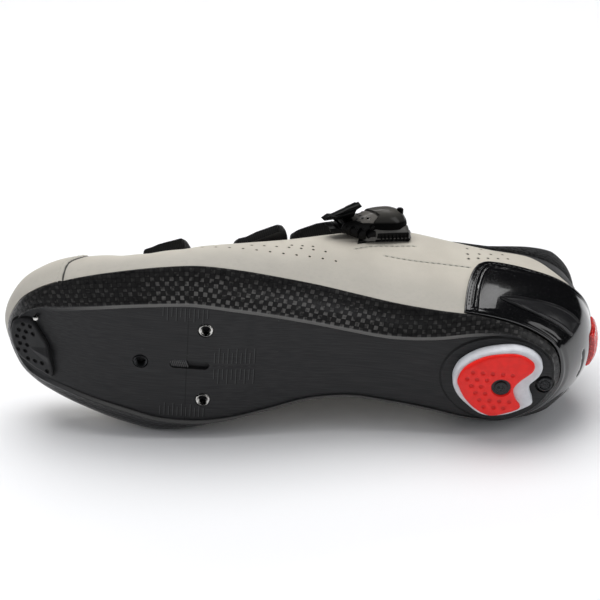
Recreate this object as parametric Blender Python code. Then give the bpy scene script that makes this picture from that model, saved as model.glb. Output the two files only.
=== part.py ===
# Cycling shoe for the left foot, lying on its inner side
#
# The shoe is drawn in its own frame: x from heel to toe, y towards the outer (lateral) side,
# z up from the plane that the heel pad stands on. An empty then lays it on its inner side.

import math

import bmesh
import bpy
import numpy as np
from mathutils import Matrix, Vector

# Overall sizes in metres
LENGTH = 0.276
BALL_WIDTH = 0.090
INSTEP_HEIGHT = 0.087
COLLAR_HEIGHT = 0.070
TOE_RISE = 0.026

# Walls, layers and clearances
GAP = 0.0003
WALL = 0.0020
PLATE = 0.0042
LEDGE = 0.0036
UPPER_INSET = 0.0006
RIM_EDGE = 0.0016
LIP_WIDTH = 0.0022
LIP_HEIGHT = 0.0012
FOOTBED_SLOPE = 0.0016
INSOLE = 0.0030
INSOLE_INSET = 0.0062
TONGUE = 0.0036
COLLAR_PAD = 0.0070
COUNTER = 0.0018
ARM = 0.0017
STRAP = 0.0036
INSTEP_STRAP = 0.0062
REFLECTOR = 0.0026

# Cleat fittings and slot
CLEAT_PLANE = 0.0040
NUT_OUTER = 0.0033
NUT_BORE = 0.0021
NUT_DEPTH = 0.0032
NUT_ALONG = 0.183
NUT_SPREAD = 0.01875
NUT_MIDDLE = -0.0003
FRONT_NUT_ALONG = 0.212
SLOT_ALONG = 0.1897
SLOT_LENGTH = 0.0180
SLOT_WIDTH = 0.0044

# Heel fittings
HEEL_PAD_CENTRE = (0.0500, 0.0030)
HEEL_PAD_LENGTH = 0.0390
HEEL_PAD_WIDTH = 0.0355
HEEL_PAD_FACE = 0.0004
HEEL_RIM_FACE = 0.0026
HEEL_SEAT = 0.0082
HEEL_SCREW_AT = (0.0480, 0.0021)
SCREW_SINK = 0.0044
SCREW_HEAD = 0.0030
SCREW_SHANK = 0.0020
SCREW_REACH = 0.0020
PLUG_AT = (0.0275, 0.0012)
PLUG_RADIUS = 0.0034
PLUG_HEIGHT = 0.0030
PLUG_RECESS = 0.0046
PLUG_SEAT = 0.0030

# Toe fittings
TOE_PAD = 0.0026
TOE_GAP = 0.0005
TOE_PIN_AT = (0.2610, 0.0128)
TOE_PIN_RADIUS = 0.0013

# Buckle
BUCKLE_STATION = 6.48
BUCKLE_SHARE = 0.61
BASE_STATIONS = (5.82, 7.20)
BASE_SHARES = (0.50, 0.72)
BUCKLE_FALL = 0.12
BUCKLE_BASE = 0.0056
CAP_LENGTH = 0.0175
CAP_DEPTH = 0.0170
CAP_RISE = 0.0070
LEVER_REACH = 0.0290
LEVER_TIP = 0.0086
LEVER_ROOT = 0.0124
LEVER_WIDTH = 0.0150
LEVER = 0.0022

# Fineness of the meshes
PER_STATION = 2
RIB_STEPS = 8
CROSS_COLUMNS = 4

# Sole, a row for each station from the heel to the toe. "along" is a share of LENGTH, "outer",
# "inner" and the two bands shares of BALL_WIDTH, "rim" and "plate" heights as shares of TOE_RISE,
# and "lip" a share of LIP_HEIGHT.
SOLE_ROWS = (
    # along, outer, inner, rim, plate, outer band, inner band, lip
    (0.076, 0.050, 0.050, 0.470, 0.315, 0.044, 0.044, 0.0),
    (0.087, 0.185, -0.070, 0.473, 0.315, 0.040, 0.040, 0.0),
    (0.116, 0.262, -0.182, 0.492, 0.315, 0.040, 0.040, 0.0),
    (0.163, 0.318, -0.258, 0.527, 0.320, 0.044, 0.040, 0.0),
    (0.225, 0.347, -0.260, 0.573, 0.340, 0.090, 0.040, 0.6),
    (0.290, 0.351, -0.232, 0.631, 0.395, 0.139, 0.040, 1.0),
    (0.355, 0.364, -0.214, 0.690, 0.445, 0.172, 0.040, 1.0),
    (0.420, 0.398, -0.200, 0.700, 0.450, 0.184, 0.040, 1.0),
    (0.486, 0.444, -0.226, 0.646, 0.392, 0.192, 0.040, 1.0),
    (0.551, 0.482, -0.296, 0.585, 0.304, 0.193, 0.045, 1.0),
    (0.616, 0.514, -0.369, 0.523, 0.200, 0.191, 0.062, 1.0),
    (0.681, 0.528, -0.442, 0.480, 0.150, 0.185, 0.111, 1.0),
    (0.743, 0.504, -0.470, 0.481, 0.150, 0.176, 0.144, 1.0),
    (0.804, 0.459, -0.442, 0.527, 0.176, 0.160, 0.156, 0.9),
    (0.862, 0.400, -0.393, 0.615, 0.252, 0.144, 0.144, 0.6),
    (0.913, 0.329, -0.341, 0.731, 0.385, 0.122, 0.128, 0.2),
    (0.953, 0.250, -0.281, 0.846, 0.538, 0.086, 0.095, 0.0),
    (0.982, 0.150, -0.192, 0.954, 0.685, 0.056, 0.062, 0.0),
    (1.000, -0.011, -0.011, 1.000, 0.750, 0.044, 0.044, 0.0),
)

# Upper edge at collar and throat, a row for each station of the sole. "along" is a share of LENGTH,
# "outer" and "inner" shares of BALL_WIDTH, "low" and "high" shares of COLLAR_HEIGHT and INSTEP_HEIGHT
# that add up to the height of the edge.
EDGE_ROWS = (
    # along, outer, inner, low, high
    (0.033, 0.039, 0.039, 1.00, 0.00),
    (0.044, 0.200, -0.115, 1.00, 0.00),
    (0.076, 0.300, -0.218, 1.02, 0.00),
    (0.125, 0.342, -0.268, 1.05, 0.00),
    (0.196, 0.358, -0.296, 1.06, 0.00),
    (0.268, 0.360, -0.300, 0.70, 0.33),
    (0.341, 0.310, -0.262, 0.20, 0.83),
    (0.399, 0.222, -0.204, 0.00, 1.015),
    (0.464, 0.176, -0.170, 0.00, 0.945),
    (0.529, 0.155, -0.156, 0.00, 0.850),
    (0.594, 0.140, -0.144, 0.00, 0.765),
    (0.656, 0.124, -0.132, 0.00, 0.685),
    (0.710, 0.104, -0.116, 0.00, 0.617),
    (0.754, 0.080, -0.096, 0.00, 0.563),
    (0.783, 0.052, -0.070, 0.00, 0.527),
    (0.797, 0.028, -0.048, 0.00, 0.510),
    (0.803, 0.012, -0.032, 0.00, 0.503),
    (0.806, 0.000, -0.020, 0.00, 0.500),
    (0.807, -0.010, -0.010, 0.00, 0.499),
)

# Curve of the upper's wall at each station, as shares of BALL_WIDTH: how far the belly handle stands
# out and up from the sole, and how far the shoulder handle stands out and down from the edge.
WALL_ROWS = (
    # belly out outer, belly out inner, belly up, shoulder out, shoulder down
    (0.222, 0.222, 0.200, 0.066, 0.200),
    (0.195, 0.195, 0.200, 0.066, 0.200),
    (0.135, 0.135, 0.205, 0.066, 0.195),
    (0.080, 0.085, 0.220, 0.066, 0.185),
    (0.055, 0.075, 0.250, 0.085, 0.165),
    (0.050, 0.095, 0.275, 0.140, 0.120),
    (0.050, 0.120, 0.295, 0.205, 0.080),
    (0.055, 0.140, 0.325, 0.300, 0.045),
    (0.055, 0.130, 0.315, 0.325, 0.035),
    (0.055, 0.100, 0.262, 0.330, 0.040),
    (0.050, 0.075, 0.215, 0.330, 0.040),
    (0.042, 0.055, 0.185, 0.330, 0.040),
    (0.036, 0.045, 0.165, 0.335, 0.040),
    (0.036, 0.042, 0.158, 0.365, 0.035),
    (0.050, 0.050, 0.188, 0.430, 0.018),
    (0.068, 0.058, 0.212, 0.485, 0.008),
    (0.078, 0.068, 0.222, 0.515, 0.004),
    (0.092, 0.084, 0.216, 0.535, 0.002),
    (0.098, 0.098, 0.208, 0.540, 0.002),
)

# Padded collar at each station from the heel: how far it stands above the upper's edge as a share of
# COLLAR_HEIGHT, how far it leans forward as a share of LENGTH, and its padding as a share of COLLAR_PAD.
COLLAR_ROWS = (
    # rise, lean, padding
    (0.270, 0.000, 1.00),
    (0.285, 0.000, 1.00),
    (0.270, 0.000, 0.95),
    (0.180, 0.002, 0.85),
    (0.080, 0.002, 0.70),
    (0.045, 0.001, 0.55),
    (0.036, 0.000, 0.45),
)

# Outlines of the heel pad and its rim, as shares of HEEL_PAD_LENGTH and HEEL_PAD_WIDTH from its centre
HEEL_RIM_OUTLINE = (
    (0.53, 0.02), (0.46, 0.24), (0.26, 0.42), (0.02, 0.51), (-0.20, 0.54), (-0.40, 0.47),
    (-0.52, 0.32), (-0.50, 0.15), (-0.40, 0.00), (-0.42, -0.14), (-0.46, -0.28), (-0.36, -0.38),
    (-0.14, -0.50), (0.12, -0.52), (0.34, -0.36), (0.48, -0.18),
)
HEEL_PAD_OUTLINE = (
    (0.46, 0.03), (0.39, 0.22), (0.20, 0.38), (-0.02, 0.45), (-0.22, 0.46), (-0.38, 0.37),
    (-0.40, 0.25), (-0.26, 0.08), (-0.20, -0.05), (-0.24, -0.20), (-0.30, -0.32), (-0.14, -0.42),
    (0.04, -0.47), (0.22, -0.38), (0.36, -0.22), (0.43, -0.08),
)

# Outline of the toe pad: along as a share of LENGTH, across as a share of BALL_WIDTH
TOE_PAD_OUTLINE = (
    (0.984, 0.083), (0.968, 0.108), (0.951, 0.112), (0.937, 0.056), (0.926, 0.006), (0.920, -0.067),
    (0.915, -0.172), (0.932, -0.168), (0.952, -0.150), (0.972, -0.120), (0.984, -0.070), (0.989, -0.011),
    (0.989, 0.044),
)

# Stations between which the overlays lie, and their reach as shares of the rib or of the section
COUNTER_FRONT = 4.28
COUNTER_LOW = 0.035
COUNTER_TOPS = ((0.0, 0.78), (1.0, 0.70), (1.5, 0.64), (2.0, 0.61), (3.5, 0.61), (3.95, 0.57), (4.28, 0.46))
ARM_ROWS = (
    # station, low share, high share
    (1.00, 0.150, 0.285),
    (1.15, 0.135, 0.292),
    (1.75, 0.130, 0.282),
    (2.30, 0.130, 0.265),
    (2.90, 0.145, 0.238),
    (3.30, 0.170, 0.215),
    (3.45, 0.190, 0.205),
)
REFLECTOR_HALF = 0.42
REFLECTOR_SHARES = (0.24, 0.70)
COLLAR_END = 6.0
FRONT_STRAP_STATIONS = (11.45, 12.95)
MID_STRAP_STATIONS = (9.20, 10.50)
INSTEP_STRAP_STATIONS = (7.30, 9.05)
STRAP_REACH = (-0.62, 0.54)
INSTEP_REACH = (-0.60, 0.50)
TONGUE_STATIONS = (6.5, 13.0)
TONGUE_LINES = 3
TONGUE_TOP = 0.017
TONGUE_TOP_HALF = 0.205
BRIDGE = 0.26
STRAP_HEEL_BORDER = 0.85
STRAP_TOE_BORDER = 0.50
FRONT_STRAP_LIFT = 0.0034
MID_STRAP_LIFT = 0.0050

MATERIALS = {
    # name: colour, roughness, metallic, density in kg per cubic metre
    "carbon_plate": ((0.030, 0.030, 0.032), 0.45, 0.0, 1550.0),
    "dark_rubber": ((0.060, 0.062, 0.065), 0.75, 0.0, 1150.0),
    "pale_plastic": ((0.620, 0.630, 0.650), 0.40, 0.0, 1100.0),
    "red_pad": ((0.800, 0.030, 0.020), 0.40, 0.0, 1150.0),
    "steel": ((0.620, 0.620, 0.600), 0.28, 1.0, 7800.0),
    "black_steel": ((0.020, 0.020, 0.020), 0.40, 0.6, 7800.0),
    "grey_microfibre": ((0.500, 0.490, 0.430), 0.62, 0.0, 800.0),
    "black_mesh": ((0.020, 0.020, 0.021), 0.85, 0.0, 260.0),
    "black_fabric": ((0.018, 0.018, 0.018), 0.80, 0.0, 750.0),
    "glossy_black": ((0.010, 0.010, 0.011), 0.15, 0.0, 1150.0),
    "matte_black": ((0.022, 0.022, 0.022), 0.45, 0.0, 1100.0),
    "insole_foam": ((0.060, 0.060, 0.060), 0.80, 0.0, 300.0),
}


# Stations round the sole

def closed_rows(outer, inner):
    """Values round the whole foot: up the outer side from heel to toe, back down the inner side."""
    return np.array(list(outer) + list(inner)[-2:0:-1])


STATIONS = len(SOLE_ROWS) - 1


def build_ring():
    outer = []
    inner = []
    for sole, edge, wall in zip(SOLE_ROWS, EDGE_ROWS, WALL_ROWS):
        height = edge[3] * COLLAR_HEIGHT + edge[4] * INSTEP_HEIGHT
        shared = [sole[0] * LENGTH, sole[3] * TOE_RISE, sole[4] * TOE_RISE, sole[7]]
        shared += [edge[0] * LENGTH, height]
        shared += [wall[2] * BALL_WIDTH, wall[3] * BALL_WIDTH, wall[4] * BALL_WIDTH]
        outer.append(shared + [v * BALL_WIDTH for v in (sole[1], sole[5], edge[1], wall[0])])
        inner.append(shared + [v * BALL_WIDTH for v in (sole[2], sole[6], edge[2], wall[1])])
    return closed_rows(outer, inner)


RING = build_ring()
ALONG, RIM, FLOOR, LIP, EDGE_ALONG, EDGE_HEIGHT, BELLY_UP, SHOULDER_OUT, SHOULDER_DOWN = range(9)
SIDE, BAND, EDGE_SIDE, BELLY_OUT = range(9, 13)


def at_station(k, rows=RING):
    """Smooth value of the rows at station k; negative k runs down the inner side."""
    count = len(rows)
    low = math.floor(k)
    t = k - low
    a, b, c, d = (rows[(low + step) % count] for step in (-1, 0, 1, 2))
    return 0.5 * (2 * b + (c - a) * t + (2 * a - 5 * b + 4 * c - d) * t * t
                  + (3 * b - a - 3 * c + d) * t ** 3)


def outward(k):
    """Horizontal direction away from the foot at station k."""
    step = 0.05
    ahead = at_station(k + step)
    behind = at_station(k - step)
    run = np.array([ahead[ALONG] - behind[ALONG], ahead[SIDE] - behind[SIDE]])
    run /= np.linalg.norm(run)
    return np.array([-run[1], run[0], 0.0])


def floor_height(row):
    """Height of the sole's underside at a station; the cleat area is cut to one plane."""
    return max(row[FLOOR], CLEAT_PLANE)


def between(low, high, step):
    """The two ends and the multiples of step between them, so that facing meshes share their lines."""
    first = math.floor(low / step) + 1
    last = math.ceil(high / step) - 1
    inner = [i * step for i in range(first, last + 1)]
    return [low] + [v for v in inner if v - low > 0.15 * step and high - v > 0.15 * step] + [high]


# Skin of the last

def rib_handles(k):
    row = at_station(k)
    out = outward(k)
    foot = np.array([row[ALONG], row[SIDE], row[RIM] + GAP]) - out * UPPER_INSET
    edge = np.array([row[EDGE_ALONG], row[EDGE_SIDE], row[EDGE_HEIGHT]])
    lean = (foot - edge) * (1, 1, 0) + out * 0.30 * BALL_WIDTH
    lean /= np.linalg.norm(lean)
    belly = foot + out * row[BELLY_OUT] + np.array([0, 0, row[BELLY_UP]])
    shoulder = edge + lean * row[SHOULDER_OUT] - np.array([0, 0, row[SHOULDER_DOWN]])
    return foot, belly, shoulder, edge


def bezier(points, t):
    a, b, c, d = points
    s = 1 - t
    return s ** 3 * a + 3 * s * s * t * b + 3 * s * t * t * c + t ** 3 * d


def bezier_slope(points, t):
    a, b, c, d = points
    s = 1 - t
    return 3 * s * s * (b - a) + 6 * s * t * (c - b) + 3 * t * t * (d - c)


def skin(k, t, lift=0.0):
    """Point of the upper's outer face at station k and share t of its rib, lifted off it."""
    point = bezier(rib_handles(k), t)
    if lift == 0.0:
        return point
    step = 0.08
    run = bezier(rib_handles(k + step), t) - bezier(rib_handles(k - step), t)
    normal = np.cross(bezier_slope(rib_handles(k), t), run)
    return point + normal / np.linalg.norm(normal) * lift


def over(k, s, lift=0.0):
    """Point of the section at station k, from the inner side (s -1) over the throat to the outer (s 1)."""
    if abs(s) >= BRIDGE:
        t = (1 - abs(s)) / (1 - BRIDGE)
        return skin(math.copysign(k, s), t, lift)
    ends = skin(-k, 1.0, lift), skin(k, 1.0, lift)
    reach = np.linalg.norm(ends[1] - ends[0]) / 3
    handles = []
    for station, end in zip((-k, k), ends):
        slope = bezier_slope(rib_handles(station), 1.0)
        handles.append(end + slope / np.linalg.norm(slope) * reach)
    return bezier((ends[0], handles[0], handles[1], ends[1]), 0.5 + 0.5 * s / BRIDGE)


# Meshes

def add_material(name):
    found = bpy.data.materials.get(name)
    if found:
        return found
    colour, roughness, metallic, _ = MATERIALS[name]
    material = bpy.data.materials.new(name)
    material.use_nodes = True
    shader = material.node_tree.nodes["Principled BSDF"]
    shader.inputs["Base Color"].default_value = (*colour, 1.0)
    shader.inputs["Roughness"].default_value = roughness
    shader.inputs["Metallic"].default_value = metallic
    material.diffuse_color = (*colour, 1.0)
    return material


def add_object(name, points, faces, material):
    mesh = bpy.data.meshes.new(name)
    mesh.from_pydata([tuple(map(float, p)) for p in points], [], faces)
    bm = bmesh.new()
    bm.from_mesh(mesh)
    bmesh.ops.recalc_face_normals(bm, faces=bm.faces)
    bm.to_mesh(mesh)
    bm.free()
    mesh.shade_smooth()
    mesh.set_sharp_from_angle(angle=math.radians(35))
    obj = bpy.data.objects.new(name, mesh)
    bpy.context.scene.collection.objects.link(obj)
    mesh.materials.append(add_material(material))
    return obj


def split(a, b, c, d):
    """Four corners as two triangles that share the line from a to c."""
    return [(a, b, c), (a, c, d)]


def sheet_solid(name, outer, inner, material, closed=False, turned_lines=False):
    """Solid between two grids of points, rows by columns. A closed sheet joins its last row to its first.

    The lines across the squares run one way on every sheet, so that facing sheets stay apart;
    turned_lines is for grids whose rows run round the shoe the other way.
    """
    rows, columns = len(outer), len(outer[0])
    points = [p for grid in (outer, inner) for row in grid for p in row]
    shift = rows * columns
    spans = rows if closed else rows - 1
    faces = []

    def at(i, j, layer):
        return layer * shift + (i % rows) * columns + j

    for i in range(spans):
        for j in range(columns - 1):
            for layer in (0, 1):
                ring = [at(i, j, layer), at(i + 1, j, layer), at(i + 1, j + 1, layer), at(i, j + 1, layer)]
                faces += split(*(ring[1:] + ring[:1] if turned_lines else ring))
        for j in (0, columns - 1):
            faces.append((at(i, j, 0), at(i, j, 1), at(i + 1, j, 1), at(i + 1, j, 0)))
    if not closed:
        for i in (0, rows - 1):
            for j in range(columns - 1):
                faces.append((at(i, j, 0), at(i, j + 1, 0), at(i, j + 1, 1), at(i, j, 1)))
    return add_object(name, points, faces, material)


def loft(name, sections, material):
    """Solid through closed sections that hold the same number of points, with flat ends."""
    count = len(sections[0])
    points = [p for section in sections for p in section]
    faces = [tuple(range(count)), tuple(range((len(sections) - 1) * count, len(sections) * count))]
    for i in range(len(sections) - 1):
        for j in range(count):
            a, b = i * count + j, i * count + (j + 1) % count
            faces += split(a, b, b + count, a + count)
    return add_object(name, points, faces, material)


def cylinder(name, centre, radius, low, high, material=None, sides=16):
    ring = [(math.cos(a), math.sin(a)) for a in np.linspace(0, 2 * math.pi, sides, endpoint=False)]
    sections = [[(centre[0] + radius * c, centre[1] + radius * s, z) for c, s in ring] for z in (low, high)]
    return loft(name, sections, material or "steel")


def turned(name, centre, profile, material, sides=16):
    """Solid turned about a vertical axis; the profile is a closed ring of radius and height."""
    sections = []
    for radius, height in profile:
        angles = np.linspace(0, 2 * math.pi, sides, endpoint=False)
        sections.append([(centre[0] + radius * math.cos(a), centre[1] + radius * math.sin(a), height)
                         for a in angles])
    points = [p for section in sections for p in section]
    faces = []
    for i in range(len(sections)):
        below, above = i * sides, ((i + 1) % len(sections)) * sides
        for j in range(sides):
            step = (j + 1) % sides
            faces.append((below + j, below + step, above + step, above + j))
    return add_object(name, points, faces, material)


def cut(target, cutter):
    cutter.hide_render = True
    cutter.display_type = "WIRE"
    modifier = target.modifiers.new("cut " + cutter.name, "BOOLEAN")
    modifier.operation = "DIFFERENCE"
    modifier.solver = "EXACT"
    modifier.object = cutter


def smooth_outline(outline, per_span):
    rows = np.array(outline, float)
    return [at_station(i / per_span, rows) for i in range(len(rows) * per_span)]


def ring_stations():
    return [i / PER_STATION for i in range(2 * STATIONS * PER_STATION)]


def across(points, shape):
    """Joins the two sides of a ring of points by cross lines; returns the added points and the faces.

    The first and the middle point of the ring are its tips. shape(i, s) lifts the point at row i and
    share s of its cross line.
    """
    count = len(points)
    half = count // 2
    added = []
    lines = {}
    for i in range(1, half):
        line = [i]
        for column in range(1, CROSS_COLUMNS):
            s = column / CROSS_COLUMNS
            point = np.array(points[i]) * (1 - s) + np.array(points[count - i]) * s
            point[2] += shape(i, s)
            line.append(count + len(added))
            added.append(point)
        lines[i] = line + [count - i]
    faces = []
    for i in range(1, half - 1):
        for a, b, c, d in zip(lines[i], lines[i][1:], lines[i + 1][1:], lines[i + 1]):
            faces.append((a, b, c, d))
    for tip, row in ((0, 1), (half, half - 1)):
        for a, b in zip(lines[row], lines[row][1:]):
            faces.append((tip, a, b))
    return added, faces


def plate_solid(name, profiles, material, top_shape, bottom_shape):
    """Solid whose rim follows the profiles round the ring, closed above and below by cross lines."""
    count = len(profiles)
    steps = len(profiles[0])
    points = [p for profile in profiles for p in profile]
    faces = []
    for i in range(count):
        nxt = (i + 1) % count
        for j in range(steps - 1):
            faces.append((i * steps + j, nxt * steps + j, nxt * steps + j + 1, i * steps + j + 1))
    for column, shape in ((0, top_shape), (steps - 1, bottom_shape)):
        ring = [profile[column] for profile in profiles]
        added, caps = across(ring, shape)
        shift = len(points)
        points += added
        for face in caps:
            faces.append(tuple(v * steps + column if v < count else shift + v - count for v in face))
    return add_object(name, points, faces, material)


# Sole and what it carries

def sole_profile(k):
    row = at_station(k)
    out = outward(k)
    floor = floor_height(row)
    depth = row[RIM] - floor
    drop = row[LIP] * LIP_HEIGHT
    band = row[BAND]
    heights = (
        (LEDGE + FOOTBED_SLOPE, floor + PLATE),
        (LEDGE, row[RIM]),
        (0.0, row[RIM]),
        (0.05 * band, row[RIM] - min(RIM_EDGE, 0.4 * depth)),
        (0.30 * band, floor + 0.42 * depth),
        (0.62 * band, floor + 0.14 * depth),
        (band - min(LIP_WIDTH, 0.3 * band), floor - drop),
        (band - 0.15 * min(LIP_WIDTH, 0.3 * band), floor - drop),
        (band, floor),
    )
    return [np.array([row[ALONG], row[SIDE], 0.0]) - out * inset + np.array([0, 0, z])
            for inset, z in heights]


def flat(i, s):
    return 0.0


def make_outsole():
    sole = plate_solid("outsole", [sole_profile(k) for k in ring_stations()], "carbon_plate", flat, flat)
    high = TOE_RISE
    for name, along, side in nut_places():
        cut(sole, cylinder(name + "_hole", (along, side), NUT_OUTER + GAP, -0.001, high))
    slot = []
    for z in (-0.001, CLEAT_PLANE + 0.5 * PLATE):
        ring = []
        for centre, start in ((0.5, -90), (-0.5, 90)):
            for step in range(9):
                angle = math.radians(start + step * 22.5)
                along = SLOT_ALONG + centre * (SLOT_LENGTH - SLOT_WIDTH) + 0.5 * SLOT_WIDTH * math.cos(angle)
                ring.append((along, 0.5 * SLOT_WIDTH * math.sin(angle) + NUT_MIDDLE, z))
        slot.append(ring)
    cut(sole, loft("slot_cutter", slot, "steel"))
    cut(sole, cylinder("screw_hole", HEEL_SCREW_AT, SCREW_SHANK + GAP, -0.001, high))
    cut(sole, cylinder("plug_hole", PLUG_AT, PLUG_RECESS, -0.001, HEEL_SEAT + 0.5 * PLATE))
    return sole


def nut_places():
    return (
        ("cleat_nut_lateral", NUT_ALONG, NUT_MIDDLE + NUT_SPREAD),
        ("cleat_nut_medial", NUT_ALONG, NUT_MIDDLE - NUT_SPREAD),
        ("cleat_nut_front", FRONT_NUT_ALONG, NUT_MIDDLE),
    )


def make_nuts():
    made = []
    for name, along, side in nut_places():
        low = CLEAT_PLANE + 0.0001
        bevel = 0.0005
        profile = (
            (NUT_BORE, low + bevel), (NUT_BORE + bevel, low), (NUT_OUTER - bevel, low),
            (NUT_OUTER, low + bevel), (NUT_OUTER, low + NUT_DEPTH), (NUT_BORE, low + NUT_DEPTH),
        )
        material = "black_steel" if name.endswith("front") else "steel"
        made.append(turned(name, (along, side), profile, material))
    return made


def extruded(name, outline, per_span, low, high, bevel, material):
    """Upright slab with a bevel round its lower edge."""
    ring = smooth_outline(outline, per_span)
    centre = np.mean(ring, axis=0)
    sections = []
    for shrink, z in ((bevel, low), (0.0, low + bevel), (0.0, high)):
        sections.append([tuple(centre + (p - centre) * (1 - shrink / np.linalg.norm(p - centre))) + (z,)
                         for p in ring])
    return loft(name, sections, material)


def make_heel_pad():
    def placed(outline):
        return [(HEEL_PAD_CENTRE[0] + a * HEEL_PAD_LENGTH, HEEL_PAD_CENTRE[1] + b * HEEL_PAD_WIDTH)
                for a, b in outline]

    rim = extruded("heel_pad_rim", placed(HEEL_RIM_OUTLINE), 3, HEEL_RIM_FACE, HEEL_SEAT - 2 * GAP, 0.0012,
                   "pale_plastic")
    cut(rim, cylinder("rim_hole", HEEL_SCREW_AT, SCREW_SHANK + GAP, -0.001, HEEL_SEAT + 0.001))
    pad = extruded("heel_pad", placed(HEEL_PAD_OUTLINE), 3, HEEL_PAD_FACE, HEEL_RIM_FACE - GAP, 0.0010,
                   "red_pad")
    cut(pad, cylinder("pad_hole", HEEL_SCREW_AT, SCREW_SINK, -0.001, HEEL_SEAT))
    low = HEEL_RIM_FACE - GAP - 0.0014
    top = HEEL_SEAT + SCREW_REACH
    rings = ((0.6 * SCREW_HEAD, low), (SCREW_HEAD, low + 0.0005), (SCREW_HEAD, HEEL_RIM_FACE - GAP),
             (SCREW_SHANK, HEEL_RIM_FACE - GAP), (SCREW_SHANK, top))
    angles = np.linspace(0, 2 * math.pi, 16, endpoint=False)
    sections = [[(HEEL_SCREW_AT[0] + r * math.cos(a), HEEL_SCREW_AT[1] + r * math.sin(a), z) for a in angles]
                for r, z in rings]
    return [rim, pad, loft("heel_pad_screw", sections, "black_steel")]


def make_heel_plug():
    seat = HEEL_SEAT + 0.5 * PLATE - GAP
    return [cylinder("heel_plug", PLUG_AT, PLUG_RADIUS, seat - PLUG_HEIGHT, seat, "dark_rubber")]


def sole_height(along, side):
    """Height of the sole's underside, between the inner edges of its two bands."""
    heights = []
    sides = []
    for sign in (1, -1):
        places = []
        for k in np.arange(0.5, STATIONS + 0.01, 0.25):
            row = at_station(sign * k)
            inset = outward(sign * k) * row[BAND]
            places.append((row[ALONG] - inset[0], floor_height(row), row[SIDE] - inset[1]))
        xs, zs, ys = zip(*places)
        heights.append(float(np.interp(along, xs, zs)))
        sides.append(float(np.interp(along, xs, ys)))
    share = (side - sides[1]) / max(sides[0] - sides[1], GAP)
    share = min(1.0, max(0.0, share))
    return heights[0] * share + heights[1] * (1 - share)


def make_toe_pad():
    ring = [(a * LENGTH, b * BALL_WIDTH) for a, b in TOE_PAD_OUTLINE]
    ring = smooth_outline(ring, 2)
    centre = np.mean(ring, axis=0)
    rings = 4
    points = []
    for layer in range(2):
        for step in range(1, rings + 1):
            for p in ring:
                q = centre + (p - centre) * step / rings
                drop = TOE_GAP if layer else TOE_GAP + TOE_PAD * (0.55 if step == rings else 1.0)
                points.append((q[0], q[1], sole_height(*q) - drop))
        drop = TOE_GAP if layer else TOE_GAP + TOE_PAD
        points.append((centre[0], centre[1], sole_height(*centre) - drop))
    count = len(ring)
    layer_size = rings * count + 1
    faces = []
    for layer in range(2):
        base = layer * layer_size
        for j in range(count):
            nxt = (j + 1) % count
            faces.append((base + layer_size - 1, base + j, base + nxt))
            for step in range(rings - 1):
                a = base + step * count
                faces.append((a + j, a + count + j, a + count + nxt, a + nxt))
    last = (rings - 1) * count
    for j in range(count):
        nxt = (j + 1) % count
        faces.append((last + j, layer_size + last + j, layer_size + last + nxt, last + nxt))
    pad = add_object("toe_pad", points, faces, "dark_rubber")
    seat = sole_height(*TOE_PIN_AT) - TOE_GAP
    pin = cylinder("toe_pad_pin", TOE_PIN_AT, TOE_PIN_RADIUS, seat - TOE_PAD, seat, "steel", 12)
    return [pad, pin]


# Upper and soft parts

def make_upper():
    shares = np.linspace(0, 1, RIB_STEPS + 1)
    outer = []
    inner = []
    for k in ring_stations():
        outer.append([skin(k, t) for t in shares])
        wall = [skin(k, t, -WALL) for t in shares]
        wall[0] = outer[-1][0] - outward(k) * WALL
        inner.append(wall)
    return sheet_solid("upper", outer, inner, "grey_microfibre", closed=True)


def insole_profile(k):
    row = at_station(k)
    out = outward(k)
    low = floor_height(row) + PLATE + GAP
    middle = np.array([row[ALONG], row[SIDE], 0.0])
    return [middle - out * inset + np.array([0, 0, z])
            for inset, z in ((INSOLE_INSET + 0.0006, low + INSOLE), (INSOLE_INSET, low + 0.8 * INSOLE),
                             (INSOLE_INSET, low))]


def make_insole():
    return plate_solid("insole", [insole_profile(k) for k in ring_stations()], "insole_foam", flat, flat)


def section_share(t):
    """Share of the section at which share t of the outer rib lies."""
    return 1 - t * (1 - BRIDGE)


def make_tongue():
    start, end = TONGUE_STATIONS
    stations = between(start, end, 1 / PER_STATION)
    edge = [section_share(i / RIB_STEPS) for i in range(RIB_STEPS - TONGUE_LINES, RIB_STEPS + 1)]
    shares = [-s for s in edge] + [-0.4 * BRIDGE, 0.4 * BRIDGE] + edge[::-1]
    near = -(WALL + 2 * GAP)
    far = near - TONGUE
    outer = [[over(k, s, near) for s in shares] for k in stations]
    inner = [[over(k, s, far) for s in shares] for k in stations]
    rise = over(start, 0.0, near) - over(start + 0.4, 0.0, near)
    rise /= np.linalg.norm(rise)
    for grid in (outer, inner):
        first = grid[0]
        middle = np.mean(first, axis=0)
        half = max(abs(p[1] - middle[1]) for p in first)
        for step, closing in ((0.35, 0.8), (0.7, 0.95), (1.0, 1.0)):
            push = (0.8 * rise + np.array([0, 0, 0.6])) * step * TONGUE_TOP
            row = []
            for p in first:
                side = (p[1] - middle[1]) / half
                drawn = middle[1] + TONGUE_TOP_HALF * BALL_WIDTH * math.sin(0.5 * math.pi * side)
                place = p + push
                place[1] = p[1] * (1 - closing) + drawn * closing
                place[2] -= 0.25 * TONGUE_TOP * step * side ** 2
                row.append(place)
            grid.insert(0, row)
    return sheet_solid("tongue", outer, inner, "black_mesh", turned_lines=True)


def collar_row(k):
    mirrored = np.array(COLLAR_ROWS[::-1] + COLLAR_ROWS[1:])
    reach = len(COLLAR_ROWS) - 1
    return [float(np.interp(k, np.arange(-reach, reach + 1), mirrored[:, c])) for c in range(3)]


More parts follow.
